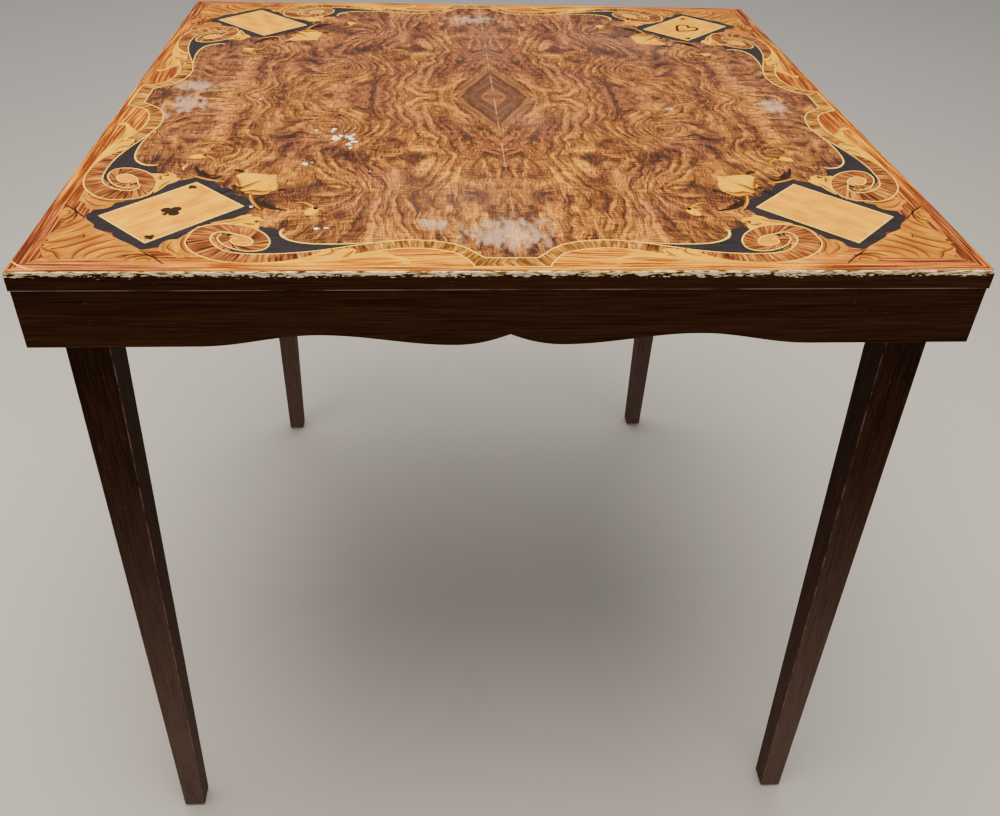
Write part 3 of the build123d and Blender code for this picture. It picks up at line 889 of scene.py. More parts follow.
@dataclass(frozen=True)
class ZincSteel(Finish):
    """Pressed steel, zinc plated and dulled: clouded grey with brown spots of age."""

    name: str = "dull zinc-plated steel"
    roughness: float = 0.38
    metallic: float = 1.0
    relief: float = 0.02
    cloud: float = 9.0
    spot: float = 2.4
    # Real draw lines are finer than 0.05 and too fine to show, so they are drawn coarser
    draw_line: Point = (60.0, 0.6)

    def surface(self, tree: Tree, place: Socket) -> Surface:
        """Builds plating that clouds and spots.

        Args:
            tree: Node tree to add to.
            place: Place on the table.

        Returns:
            Sources of its colour, roughness and relief.
        """
        clouds = stretched(tree, place, (self.cloud, self.cloud), detail=5)
        spots = stretched(tree, place, (self.spot, self.spot), detail=4, limits=(0.62, 0.72))
        colour = layered(tree, "#8f8c84", (clouds, 1.0, "#b9b6ac"), (spots, 0.7, "#5b4433"))
        roughness = weighed(tree, 0.25, (clouds, 0.3))
        return Surface(colour, roughness, stretched(tree, place, self.draw_line, detail=2))


@dataclass(frozen=True)
class Emulsion(Finish):
    """Dried spots of flat white wall paint: dull off-white with grey dirt in it."""

    name: str = "dried white emulsion paint"
    roughness: float = 0.8
    relief: float = 0.05

    def surface(self, tree: Tree, place: Socket) -> Surface:
        """Builds the dirt.

        Args:
            tree: Node tree to add to.
            place: Place on the table.

        Returns:
            Sources of its colour and relief.
        """
        crumbs = stretched(tree, place, (3, 3), detail=4)
        dirt = add(tree, "MapRange", [crumbs, 0.4, 0.75], **SOFT)
        return Surface(layered(tree, "#efe9da", (dirt, 1.0, "#a49a88")), height=crumbs)


@dataclass(frozen=True)
class PaleFloor(Finish):
    """Seamless pale studio paper: a barely clouded off-white."""

    name: str = "pale studio paper"
    roughness: float = 0.9

    def surface(self, tree: Tree, place: Socket) -> Surface:
        """Builds the clouds."""
        return Surface(layered(tree, "#d9d5ce", (stretched(tree, place, (900, 900)), 1.0, "#dedad4")))


def flowing(points: list | tuple, closed: bool = False, steps: int = 6) -> list[tuple]:
    """Smooth line through points, sharp where a point is given twice.

    Args:
        points: Places of two or more numbers each.
        closed: Whether the line returns to its start.
        steps: How many straight steps replace each stretch.

    Returns:
        Points along the line, without the start again at the end of a closed one.
    """
    count = len(points)
    stretches = count if closed else count - 1
    line = []
    for index in range(stretches):
        second, third = points[index], points[(index + 1) % count]
        if second == third:
            continue
        first = points[index - 1] if closed or index else second
        fourth = points[(index + 2) % count] if closed or index + 2 < count else third
        for step in range(steps):
            t = step / steps
            line.append(tuple(
                0.5 * (2 * b + (c - a) * t + (2 * a - 5 * b + 4 * c - d) * t ** 2
                       + (3 * b - a - 3 * c + d) * t ** 3)
                for a, b, c, d in zip(first, second, third, fourth)))
    if not closed:
        line.append(tuple(points[-1]))
    return line


def beside(line: list[Point], distances: list[float]) -> list[Point]:
    """Line that runs beside another.

    Args:
        line: Points of the other.
        distances: How far to its left the new line runs at each of them.

    Returns:
        Points of the new line.
    """
    moved = []
    for index, (x, y) in enumerate(line):
        before, after = line[max(index - 1, 0)], line[min(index + 1, len(line) - 1)]
        length = hypot(after[0] - before[0], after[1] - before[1]) or 1.0
        moved.append((x - distances[index] * (after[1] - before[1]) / length,
                      y + distances[index] * (after[0] - before[0]) / length))
    return moved


def across_diagonal(half: list[Point]) -> list[Point]:
    """Whole outline from the half on one side of the diagonal, which it starts and ends near."""
    return half + [(y, x) for x, y in reversed(half)]


class Copies(Enum):
    """How often a piece of the front left corner comes back round the top.

    Each copy is the signs of X and Y, and whether they change places.
    """

    ONE = ((1, 1, False),)
    FOUR = ((1, 1, False), (-1, 1, False), (1, -1, False), (-1, -1, False))
    EIGHT = FOUR + tuple((a, b, True) for a, b in ((1, 1), (-1, 1), (1, -1), (-1, -1)))
    SIDES = ((1, 1, False), (1, -1, False), (1, 1, True), (-1, 1, True))

    def of(self, line: list[Point]) -> list[list[Point]]:
        """Copies of a line round the top.

        Args:
            line: Points in the front left corner.

        Returns:
            One line for each copy.
        """
        return [
            [(sign_x * y, sign_y * x) if swap else (sign_x * x, sign_y * y) for x, y in line]
            for sign_x, sign_y, swap in self.value
        ]


def placed_at(line: list[Point], x: float, y: float, degrees: float) -> list[Point]:
    """Line turned about its origin and then moved to a place."""
    turn = radians(degrees)
    return [(x + a * cos(turn) - b * sin(turn), y + a * sin(turn) + b * cos(turn)) for a, b in line]


@dataclass
class Inlay:
    """Pieces of one veneer at one height, gathered into one mesh."""

    name: str
    finish: Finish
    slot: str
    level: float
    thickness: float = 0.12
    replaced: tuple[str, ...] = ()
    # How much wider than its marks a scorched band fades out
    spread: float = 2.2
    # How far along the sheet each copy is cut from the one before
    sheet_step: float = 370.0
    # A slab whose doubled area is smaller is left out
    least_area: float = 1e-9
    mesh: bmesh.types.BMesh = field(default_factory=bmesh.new)

    def __post_init__(self) -> None:
        """Adds the two maps that the finishes read."""
        self.grain = self.mesh.loops.layers.uv.new("grain")
        self.strip_map = self.mesh.loops.layers.uv.new("strip")

    def slab(self, outline: list[Point], grain: list[Point], strip: list[Point]) -> None:
        """Adds one closed flat piece.

        Args:
            outline: Its corners on the top.
            grain: Place of each corner in the sheet it was cut from.
            strip: Length along and share across a strip at each corner.
        """
        area = sum(a[0] * b[1] - b[0] * a[1] for a, b in zip(outline, outline[1:] + outline[:1]))
        if abs(area) < self.least_area:
            return
        upper, lower = (
            [self.mesh.verts.new((x * MM, y * MM, height * MM)) for x, y in outline]
            for height in (self.level, self.level - self.thickness))
        corners = {vertex: index % len(outline) for index, vertex in enumerate(upper + lower)}
        rings = [upper, lower[::-1]]
        for index in range(len(outline)):
            after = (index + 1) % len(outline)
            rings.append([lower[index], lower[after], upper[after], upper[index]])
        for ring in rings:
            for loop in self.mesh.faces.new(ring[::-1] if area < 0 else ring).loops:
                loop[self.grain].uv = Vector(grain[corners[loop.vert]]) * MM
                loop[self.strip_map].uv = strip[corners[loop.vert]]

    def plate(self, outline: list[Point], kind: Copies = Copies.EIGHT, grain: float = 0.0,
              share: float = 1.0) -> None:
        """Adds a piece with one outline and its copies.

        Args:
            outline: Corners in the front left corner of the top.
            kind: Copies that it comes in.
            grain: Angle of its grain in degrees.
            share: Place across a strip that all of it takes, where one is unscorched.
        """
        for number, ring in enumerate(kind.of(outline)):
            places = placed_at(outline, self.sheet_step * number, 0.0, -grain)
            self.slab(ring, places, [(0.0, share)] * len(ring))

    def strip(self, left: list[Point], right: list[Point], kind: Copies = Copies.EIGHT,
              grain: float = 0.0) -> None:
        """Adds a strip between two lines of as many points, with its length and width mapped.

        Args:
            left: Line where the share across is zero.
            right: Line where it is one.
            kind: Copies that it comes in.
            grain: Angle in degrees of the sheet's grain.
        """
        middles = [((a + c) / 2, (b + d) / 2) for (a, b), (c, d) in zip(left, right)]
        lengths = [0.0]
        for before, after in zip(middles, middles[1:]):
            lengths.append(lengths[-1] + dist(before, after))
        for number, (one, other) in enumerate(zip(kind.of(left), kind.of(right))):
            start = self.sheet_step * number
            for i, j in zip(range(len(left)), range(1, len(left))):
                ring = [one[i], one[j], other[j], other[i]]
                source = placed_at([left[i], left[j], right[j], right[i]], start, 0.0, -grain)
                corners = ((i, 0.0), (j, 0.0), (j, 1.0), (i, 1.0))
                self.slab(ring, source, [((lengths[k] + start) * MM, share) for k, share in corners])

    def line(self, points: tuple | list, width: float = 1.0, kind: Copies = Copies.EIGHT,
             closed: bool = False) -> None:
        """Adds a narrow line.

        Args:
            points: Places on it, each with the width there where the width isn't even.
            width: Even width.
            kind: Copies that it comes in.
            closed: Whether it returns to its start.
        """
        smooth = flowing(points, closed)
        if closed:
            smooth.append(smooth[0])
        places = [point[:2] for point in smooth]
        widths = [point[2] / 2 if len(point) > 2 else width / 2 for point in smooth]
        self.strip(beside(places, widths), beside(places, [-value for value in widths]), kind)

    def shade(self, points: tuple, kind: Copies, grain: float) -> None:
        """Adds a scorched band that fades to its left.

        Args:
            points: Places on its dark edge, each with the width there.
            kind: Copies that it comes in.
            grain: Angle of its grain in degrees.
        """
        smooth = flowing(points)
        places = [point[:2] for point in smooth]
        self.strip(places, beside(places, [self.spread * point[2] for point in smooth]), kind, grain)

    def make(self) -> None:
        """Turns the gathered pieces into one dressed object that rides the table's top."""
        data = bpy.data.meshes.new(self.name)
        self.mesh.to_mesh(data)
        self.mesh.free()
        piece = bpy.data.objects.new(self.name, data)
        bpy.context.scene.collection.objects.link(piece)
        data.materials.append(self.finish.material())
        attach(piece, "root")
        if self.replaced:
            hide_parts(*self.replaced)
        log.info("%s: %d faces of %s", self.name, len(data.polygons), self.finish.name)


@dataclass
class Marquetry:
    """The inlaid top, drawn for the front left corner and brought round by its mirror lines.

    Places named side_ are measured along a side from its middle and inwards from its edge. All
    others are X and Y from the centre of the top.
    """

    # Reach of the CAD top from the middle, and its height
    half_width: float
    top: float
    # How far inside the eased edge of the top the veneers end
    edge: float = 1.2
    # Layers lie this far above each other, the last one level with the CAD top
    step: float = 0.03
    layers: int = 8
    # A piece laid over others of its layer stands this much higher
    lift: float = 0.01
    border_thickness: float = 0.55
    string_width: float = 1.1
    # Pairs of places on the outer and the inner edge of the cross-banded scroll
    side_scroll: tuple = (
        ((29, 6.5), (21, 21)), ((34, 17), (28, 29)), ((42, 27.5), (36, 38)), ((56, 34), (52, 47)),
        ((77, 37), (78, 51)), ((97, 34.5), (100, 48)), ((118, 28), (122, 42)), ((140, 21.5), (144, 35)),
        ((162, 16.5), (165, 30)), ((186, 13), (187, 27.5)), ((210, 13), (207, 28)),
        ((230, 18), (222, 32)), ((247, 30), (232, 41)), ((256, 45), (237.5, 51)),
        ((255.7, 58.7), (238, 58.5)), ((253, 69), (235.5, 63.5)), ((246, 75.8), (230, 65)),
        ((234, 79), (222.5, 62)), ((222, 78), (217, 60.3)), ((209, 72.7), (211.7, 58)),
        ((198.5, 64), (205.5, 52)), ((192, 53.3), (203.7, 45.5)), ((190.3, 42.7), (206.5, 41.5)),
        ((193.5, 35), (210.5, 41)), ((202.5, 32), (215.2, 42.6)), ((213, 34), (219.4, 45.6)),
        ((225, 41.3), (221.6, 49.6)), ((231.5, 50.7), (220.8, 53)), ((232.6, 56.5), (218.6, 53.6)),
        ((230.5, 60), (216.6, 52)),
    )
    # How many of these pairs the edge of the field follows, and how it then turns to its corner
    field_pairs: int = 11
    side_field_turn: tuple = ((222, 24), (236, 56), (236, 80))
    field_corner: Point = (-285.0, -285.0)
    side_eye: tuple = (
        (219, 61), (211.7, 58), (205.5, 52), (203.7, 45.5), (206.5, 41.5), (210.5, 41), (215.2, 42.6),
        (221.6, 49.6), (224, 56),
    )
    # Dark crescent beside a scroll, and its back, which lies hidden under the scroll
    side_crescent: tuple = (
        (112, 47.2), (130, 45), (145, 44.5), (160, 45.5), (172, 49), (180, 55), (184, 62), (186.5, 68),
        (190, 72), (197, 73), (205, 77), (210, 81),
    )
    side_crescent_back: tuple = ((226, 72), (226, 40), (200, 20), (165, 22), (140, 28), (112, 44))
    side_crescent_line: tuple = (
        (109, 46.6, 1.0), (130, 44.2, 1.2), (145, 43.8, 1.3), (160, 44.8, 1.4), (172, 48.4, 1.6),
        (180, 54.6, 2), (183.5, 61, 2.2), (184, 67, 1.6), (182, 71, 0.8),
    )
    # Dark ground round a card: half of its broken outline, from its outer to its inner middle
    card_ground: tuple = (
        (-317, -317), (-325, -314.5), (-333, -309), (-336, -302), (-342, -295), (-346, -286.5),
        (-341, -275.5), (-334, -271), (-331, -265), (-322, -259), (-314, -256), (-306, -251),
        (-303, -245), (-300, -237), (-297, -229), (-290, -224), (-285, -217), (-277, -214),
        (-270.5, -210), (-262, -215), (-253, -219.5), (-249, -225), (-245.5, -231.5), (-240, -232),
        (-235, -236),
    )
    # Leaves over the scroll in the middle of a side, and their scorched shade with its width
    flame_leaf: tuple = (
        (-218.6, -366.8), (-207.7, -367.7), (-192.3, -367.4), (-178.2, -365.5), (-168, -362.5),
        (-159, -358), (-152.6, -353.6), (-148.7, -348.4), (-142.6, -344.2), (-142.6, -344.2),
        (-139.8, -347.5), (-134.6, -346.1), (-126.9, -344.6), (-122.4, -346), (-121.6, -350),
        (-123.7, -354.2), (-128.2, -357.6), (-131.5, -359.6), (-131.5, -359.6), (-126.5, -358.2),
        (-121.8, -355.3), (-115.4, -351), (-107.7, -348.7), (-100, -349.5), (-94.9, -352.9),
        (-91, -356.8), (-84.6, -359.3), (-80.1, -363.2), (-78.8, -367.7), (-81.4, -370.4),
        (-85.3, -370), (-85.8, -367.2), (-84, -365.1), (-87.8, -362.3), (-93.6, -361), (-100, -359.6),
        (-107.7, -359.6), (-116.7, -360.6), (-126.9, -362.5), (-137.2, -363.8), (-147.4, -366.4),
        (-162.8, -368.3), (-178.2, -368.9), (-198.7, -369.3), (-211.5, -368.7),
    )
    flame_shades: tuple = (
        ((-142.4, -344.6, 0.4), (-140.6, -350, 1.8), (-146, -355, 1.2), (-152, -356.5, 0.3)),
        ((-131.2, -359.2, 0.4), (-127, -355.8, 1.6), (-124.4, -351.5, 1.4), (-123.6, -347.5, 0.3)),
        ((-92, -361, 0.3), (-104, -359.6, 1.0), (-116, -360.4, 1.0), (-128, -362.6, 0.3)),
    )
    gold_panel: tuple = (
        (-26.5, -371), (-31, -363), (-38.5, -354), (-53, -347.6), (-76, -344.4), (-98, -346.4),
        (-119, -352.5), (-140, -358.5), (-150, -362.5), (-128, -365.5), (-96, -368), (-60, -369.5),
    )
    # Leaf that springs from the top of a scroll, the leaf beside it and its shade
    volute_leaf: tuple = (
        (-243, -301), (-232, -295), (-225, -292.5), (-220, -287), (-212, -284.3), (-211, -288),
        (-205, -289.5), (-201, -294.5), (-199.5, -298), (-204, -296.5), (-207, -295), (-204, -299),
        (-202.5, -305), (-203, -312), (-210, -308), (-221, -303), (-232, -301),
    )
    volute_shades: tuple = (
        ((-200, -298, 0.8), (-205, -295.6, 2.2), (-208, -297, 1.4), (-205.5, -302, 0.6)),
        ((-206, -302, 1.2), (-211, -301, 2.4), (-216, -299.5, 0.6)),
        ((-236, -299.5, 0.6), (-226, -297.5, 1.6), (-217, -292.5, 0.5)),
    )
    side_leaf: tuple = (
        (-274, -335), (-269, -329.5), (-263, -328.5), (-259, -321), (-257, -329), (-253, -339),
        (-247.5, -348), (-247, -354), (-250, -358), (-257, -360), (-260, -357), (-265, -352),
        (-271, -350.5), (-275, -345),
    )
    side_shades: tuple = (
        ((-259.5, -323, 0.6), (-260, -335, 2.4), (-256, -346, 2.0), (-250, -353, 0.6)),
        ((-268, -334, 0.6), (-269, -343, 2.0), (-263, -350, 1.4), (-256, -355.5, 0.5)),
    )
    spade_leaf: tuple = (
        (-236.5, -206), (-233, -201.5), (-226, -200.3), (-216, -202), (-208, -204), (-200.6, -204.6),
        (-200.6, -213), (-198.5, -222), (-197.4, -230), (-199.5, -237), (-205.5, -239.6),
        (-212, -237.8), (-218, -236), (-224, -239), (-227, -238), (-225, -233), (-221, -227),
        (-227, -229), (-232, -228.5), (-234.5, -222), (-232.5, -216), (-234, -211),
    )
    spade_shades: tuple = (
        ((-213, -216.5, 0.4), (-219, -221, 2.0), (-226, -228, 3.4), (-230, -237, 1.6)),
        ((-201, -235.5, 0.6), (-209, -239, 3.0), (-218, -236.8, 3.4), (-225, -240, 1.6)),
        ((-234.5, -212, 0.6), (-233.5, -221, 2.6), (-230.5, -229, 1.4)),
    )
    # Corner acanthus with its shaded folds
    acanthus: tuple = (
        (-352, -288), (-346, -292.5), (-340, -297.5), (-336, -302.5), (-333.5, -309), (-326, -314.5),
        (-318, -319.5), (-313, -325.5), (-304, -333), (-297, -338.5), (-290, -345), (-284.5, -350.5),
        (-292, -353.5), (-300, -356.5), (-308, -360), (-318, -361.3), (-329, -361.3), (-337, -360.4),
        (-344.5, -359.5), (-346.5, -363), (-352.5, -363), (-357.5, -358.5), (-362, -350.5),
        (-364.7, -343.5), (-363, -338), (-367, -334.5), (-361.5, -331.5), (-366, -326), (-364, -318),
        (-361, -309), (-360.5, -300), (-357, -293),
    )
    acanthus_shades: tuple = (
        ((-366, -334.5, 0.5), (-357, -334.6, 2.6), (-347, -330.4, 3.2), (-340, -324, 2.4),
         (-337, -317, 0.6)),
        ((-356, -345.5, 0.5), (-346, -342.6, 2.8), (-336, -335.5, 3.6), (-327, -327.5, 3.4),
         (-321.5, -320, 1.0)),
        ((-335.5, -361, 0.6), (-334, -351, 3.0), (-328.5, -342, 3.6), (-320, -335.2, 3.0),
         (-311, -329, 0.6)),
        ((-327.5, -360.5, 0.5), (-325, -352.5, 2.4), (-317.5, -346, 2.8), (-308, -342, 2.2),
         (-297, -339.4, 0.5)),
        ((-364.4, -342, 0.5), (-360, -347.4, 2.2), (-352.5, -351.5, 2.8), (-348.5, -358, 2.2),
         (-344.5, -362, 0.4)),
        ((-361, -311, 0.4), (-355, -307, 1.8), (-348, -299, 2.2), (-344.5, -292, 0.4)),
        ((-352, -318, 0.4), (-345, -314, 1.6), (-338.5, -306, 2.0), (-336, -301, 0.4)),
        ((-318, -361, 0.4), (-313, -354.5, 1.8), (-304, -350.5, 2.0), (-292, -349, 0.4)),
    )
    bud: tuple = (
        (-363.3, -272.6), (-358, -276), (-357.2, -284), (-360, -291), (-364, -293), (-368.5, -287),
        (-369.3, -279), (-367, -274),
    )
    bud_shades: tuple = (
        ((-357.5, -277, 0.6), (-356.8, -285, 3.0), (-360, -293.5, 1.6), (-364.5, -295, 0.3)),
        ((-365.5, -278, 0.3), (-361.6, -278.5, 1.6), (-361.4, -285, 1.6), (-365, -287.5, 0.3)),
    )
    # Pale tendrils on the field with their widths, and the ball at the end of one
    curl: tuple = (
        (-218, -245, 2.4), (-215.5, -256, 3.4), (-210.5, -267, 3.0), (-205, -275.5, 1.2),
    )
    curl_ball: tuple = (
        (-160, -270.5), (-157.4, -274), (-157.8, -280), (-161.5, -284.6), (-166.5, -285.6),
        (-168.6, -282), (-167.4, -276), (-164.4, -271.8),
    )
    curl_arc: tuple = (
        (-176, -260, 1.0), (-170, -261.5, 2.6), (-164.5, -265.5, 3.6), (-160.5, -271, 4.0),
        (-159.5, -275, 2.6),
    )
    # Dark curls and stems with their widths: those on both sides of a corner, and those on one
    paired_curls: tuple = (
        ((-206, -249.5, 2), (-210.5, -252.5, 4.4), (-211, -258, 4.4), (-207, -264, 5.1),
         (-201, -269.5, 4.8), (-193, -273.5, 3.7), (-184, -276.5, 1.7)),
        ((-204, -254, 1.4), (-205.5, -259.5, 2.7), (-201, -265, 3.1), (-194, -269, 1.7)),
        ((-369, -266, 1.0), (-362, -272.5, 1.4), (-354, -281, 1.6), (-347, -289, 0.8)),
        ((-303, -357.5, 0.5), (-292, -353.6, 1.6), (-281, -354.8, 1.2), (-273, -358.5, 0.5)),
    )
    single_curls: tuple = (
        ((-240, -193.5, 4.1), (-234.5, -195, 4.8), (-231, -199.5, 2)),
        ((-195.5, -238, 2), (-192.5, -234.8, 4.1), (-189, -236.5, 2)),
        ((-237.5, -229.5, 2.4), (-233, -228.4, 5.1), (-229, -230.5, 2.4)),
        ((-224, -240.5, 2), (-221.5, -239.4, 5.4), (-219.5, -240.5, 1.7)),
        ((-338.5, -320.5, 0.5), (-337, -324, 1.8), (-340.5, -326, 0.5)),
    )
    card_size: Point = (95.0, 69.0)
    card_middle: float = -278.0
    # Width of the pale line round a card
    card_line: float = 1.4
    # Pips: middle, height and turn
    clubs: tuple = ((-278.2, -278.2, 18.5, -40), (-270.5, -231, 8.4, 138), (-285.8, -325.2, 8.8, -42))
    hearts: tuple = ((276.4, 273.1, 33, -45), (284, 319.5, 9, -45), (271.8, 230.5, 9, 135))
    # A heart is drawn as a line of this share of its height, or solid below this height
    pip_line_share: float = 0.115
    solid_below: float = 10.0
    pip_thickness: float = 0.06
    # Spots of paint: middle and reach, how wavy their outline is and how high they stand
    paint_spots: tuple = (
        (-175, -97, 1.6, 2.2), (-157.5, -94, 2.2, 3.2), (-159, -99, 1.6, 1.6), (-155, -117, 4.2, 5.4),
        (-150, -111, 2.4, 2.2), (-143, -113, 3.6, 3.4), (-138, -108, 2.2, 2.0), (-139, -119, 2.8, 4.2),
        (-136.5, -126, 3.4, 3.0), (-141, -132, 2.4, 3.8), (-139, -141, 1.6, 2.2),
        (-178, -180, 3.2, 2.6), (-172, -177, 1.6, 1.2), (193.5, -29, 3.6, 1.2), (193.5, -29, 1.1, 3.4),
        (-214, -270.5, 1.5, 2.2), (-156, -311, 2.6, 1.8), (-148, -310, 2.2, 1.4), (-242, -10, 1.0, 1.6),
        (-118, -196, 0.9, 0.9),
    )
    spot_wave: float = 0.3
    spot_steps: int = 14
    spot_height: float = 0.25
    spot_thickness: float = 0.35
    # Scratches with their widths, and how high the splinters in them stand
    scratches: tuple = (
        ((-380, -364, 0.9), (-371, -372.5, 1.3), (-359, -379, 0.8)),
        ((-284, -182, 0.4), (-286.5, -189, 2.0), (-285, -194, 0.5)),
        ((-345, 98, 0.4), (-343, 104, 1.0), (-344, 112, 0.4)),
    )
    splinter_height: float = 0.02
    splinter_thickness: float = 0.1

    def side(self, points: tuple | list) -> list[tuple]:
        """Places on the left half of the front side, from places along it and inwards."""
        return [(-point[0], point[1] - self.half_width, *point[2:]) for point in points]

    def level(self, layer: int) -> float:
        """Height of a layer, counted from zero for the lowest."""
        return self.top - (self.layers - layer) * self.step

    def build(self) -> None:
        """Builds every piece of the top."""
        self.border()
        self.field()
        self.grounds()
        self.scrolls()
        self.leaves()
        self.cards()
        self.wear()

    def border(self) -> None:
        """Straight-grained border in four mitred lengths, under everything else."""
        inlay = Inlay("border_veneer_sheets", StraightVeneer(), "border_rosewood", self.level(0),
                      self.border_thickness, ("border_veneer",))
        half = self.half_width - self.edge
        inlay.plate([(-half, -half), (half, -half), (0, 0)], Copies.SIDES)
        inlay.make()

    def field(self) -> None:
        """Burl field, which runs under the scrolls and the dark grounds."""
        inlay = Inlay("burl_field_sheet", BurlWalnut(), "burl_walnut", self.level(1),
                      replaced=("burl_field",))
        edge = [((a + c) / 2, (b + d) / 2) for (a, b), (c, d) in self.side_scroll[:self.field_pairs]]
        half_side = self.side([*edge, *self.side_field_turn])
        quarter = [*half_side, self.field_corner, *((y, x) for x, y in reversed(half_side))]
        # The quarters follow each other round the field, so every second one runs backwards
        ring = []
        for sign_x, sign_y, backwards in ((1, 1, False), (1, -1, True), (-1, -1, False), (-1, 1, True)):
            part = [(sign_x * x, sign_y * y) for x, y in quarter]
            ring += part[::-1] if backwards else part
        inlay.plate(ring, Copies.ONE)
        inlay.make()

    def grounds(self) -> None:
        """Ebonised crescents beside the scrolls and dark grounds round the cards."""
        inlay = Inlay("ebonised_grounds", EbonisedVeneer(), "ebonised_veneer", self.level(3),
                      replaced=("dark_grounds",))
        inlay.plate(flowing(self.side(self.side_crescent), steps=4) + self.side(self.side_crescent_back))
        inlay.plate(across_diagonal(flowing(self.card_ground, steps=3)), Copies.FOUR, 45)
        inlay.make()

    def scrolls(self) -> None:
        """Cross-banded scrolls with boxwood stringing on both edges."""
        edges = [flowing(self.side([pair[edge] for pair in self.side_scroll])) for edge in (0, 1)]
        bridge = [[line[0], (-line[0][0], line[0][1])] for line in edges]
        banding = Inlay("scroll_banding_strips", CrossBanding(), "cross_banding", self.level(5),
                        replaced=("scroll_banding",))
        banding.strip(*edges)
        banding.strip(*bridge, Copies.SIDES)
        banding.make()
        eyes = Inlay("scroll_eyes", SandShadedSatinwood(), "satinwood", self.level(4))
        eyes.plate(flowing(self.side(self.side_eye), closed=True), share=0.8)
        eyes.make()
        strings = Inlay("boxwood_stringing", Boxwood(), "satinwood", self.level(6))
        for line in edges:
            halves = [self.string_width / 2] * len(line)
            strings.strip(beside(line, halves), beside(line, [-half for half in halves]))
        for line in bridge:
            strings.line(line, self.string_width, Copies.SIDES)
        strings.line(self.side(self.side_crescent_line))
        strings.make()

    def leaves(self) -> None:
        """Satinwood leaves, buds and tendrils, with their scorched shade and engraved veins."""
        satinwood = StraightVeneer("polished satinwood panels")
        panels = Inlay("gold_panels", satinwood, "satinwood", self.level(2))
        panels.plate(flowing(self.gold_panel, closed=True, steps=3), grain=4)
        panels.make()
        tan = SandShadedSatinwood(
            "polished sand-shaded maple leaves", dark="#86501a", middle="#b6741a", light="#da961a")
        self.leaf_group("corner", tan, self.level(4), self.level(5), (
            (self.acanthus, self.acanthus_shades, Copies.FOUR, 40),
            (self.bud, self.bud_shades, Copies.EIGHT, 80),
            (self.side_leaf, self.side_shades, Copies.EIGHT, 100),
        ))
        gold = SandShadedSatinwood(
            "polished sand-shaded satinwood leaves", dark="#c88402", middle="#e2a402", light="#f2bc02")
        self.leaf_group("scroll", gold, self.level(6) + self.lift, self.level(7), (
            (self.flame_leaf, self.flame_shades, Copies.EIGHT, 10),
            (self.volute_leaf, self.volute_shades, Copies.EIGHT, 30),
            (self.spade_leaf, self.spade_shades, Copies.FOUR, 60),
            (self.curl_ball, (), Copies.EIGHT, 90),
        ), (self.curl, self.curl_arc))
        curls = Inlay("engraved_curls", EngravedLine(), "ebonised_veneer", self.level(5) + self.lift)
        for line in self.paired_curls:
            curls.line(line)
        for line in self.single_curls:
            curls.line(line, kind=Copies.FOUR)
        curls.make()

    def leaf_group(self, stem: str, finish: Finish, level: float, shade_level: float, leaves: tuple,
                   tendrils: tuple = ()) -> None:
        """Leaves of one finish and the scorched shade on them.

        Args:
            stem: First word of both pieces' names.
            finish: Their finish.
            level: Height of the leaves.
            shade_level: Height of the shade.
            leaves: Outline, shades, copies and angle of the grain of each leaf.
            tendrils: Lines of the same wood.
        """
        plates = Inlay(stem + "_leaves", finish, "satinwood", level)
        shades = Inlay(stem + "_leaf_shades", finish, "satinwood", shade_level)
        for outline, marks, kind, grain in leaves:
            plates.plate(flowing(outline, closed=True, steps=3), kind, grain)
            for mark in marks:
                shades.shade(mark, kind, grain)
        for line in tendrils:
            plates.line(line)
        plates.make()
        shades.make()

    def cards(self) -> None:
        """Four cards set across the corners, edged with a pale line."""
        for name, border, layer, finish, replaced in (
            ("card_edges", 0.0, 5, Boxwood(), ()),
            ("card_faces", self.card_line, 6, SandShadedSatinwood(), ("card_panels",)),
        ):
            inlay = Inlay(name, finish, "satinwood", self.level(layer), replaced=replaced)
            x, y = (size / 2 - border for size in self.card_size)
            corners = [(x, -y), (x, y), (-x, y), (-x, -y)]
            inlay.plate(placed_at(corners, self.card_middle, self.card_middle, 45), Copies.FOUR, 45)
            inlay.make()
        stain = EngravedLine("black stain in the cards")
        pips = Inlay("card_pips", stain, "ebonised_veneer", self.level(7), self.pip_thickness)
        for x, y, size, turn in self.clubs:
            pips.plate(placed_at(self.club(size), x, y, turn), Copies.ONE)
        for x, y, size, turn in self.hearts:
            ring = placed_at(self.heart(size), x, y, turn)
            if size < self.solid_below:
                pips.plate(flowing(ring, closed=True, steps=3), Copies.ONE)
            else:
                pips.line(ring, size * self.pip_line_share, Copies.ONE, closed=True)
        pips.make()

    def club(self, size: float) -> list[Point]:
        """Outline of a club, upright about its middle.

        Args:
            size: Its height.

        Returns:
            Points round it.
        """
        lobe = 0.25
        # Upper and right lobe: middle, angles where its arc starts and ends, and steps of the arc
        arcs = [((0.0, 0.24), 90, -21.5, 5), ((0.26, -0.1), 96, -136, 10)]
        half = []
        for (x, y), start, end, steps in arcs:
            angles = [radians(start + (end - start) * step / steps) for step in range(steps + 1)]
            half += [(x + lobe * cos(angle), y + lobe * sin(angle)) for angle in angles]
        foot = (0.16, -0.5)
        half.append(foot)
        return [(x * size, y * size) for x, y in half + [(-x, y) for x, y in half[:0:-1]]]

    def heart(self, size: float) -> list[Point]:
        """Outline of a heart, upright about its middle and sharp at its point and its notch.

        Args:
            size: Its height.

        Returns:
            Points round it.
        """
        half = [(0.24, -0.18), (0.42, 0.12), (0.36, 0.4), (0.16, 0.46)]
        point, notch = (0, -0.5), (0, 0.26)
        ring = [point, point, *half, notch, notch, *((-x, y) for x, y in reversed(half))]
        return [(x * size, y * size) for x, y in ring]

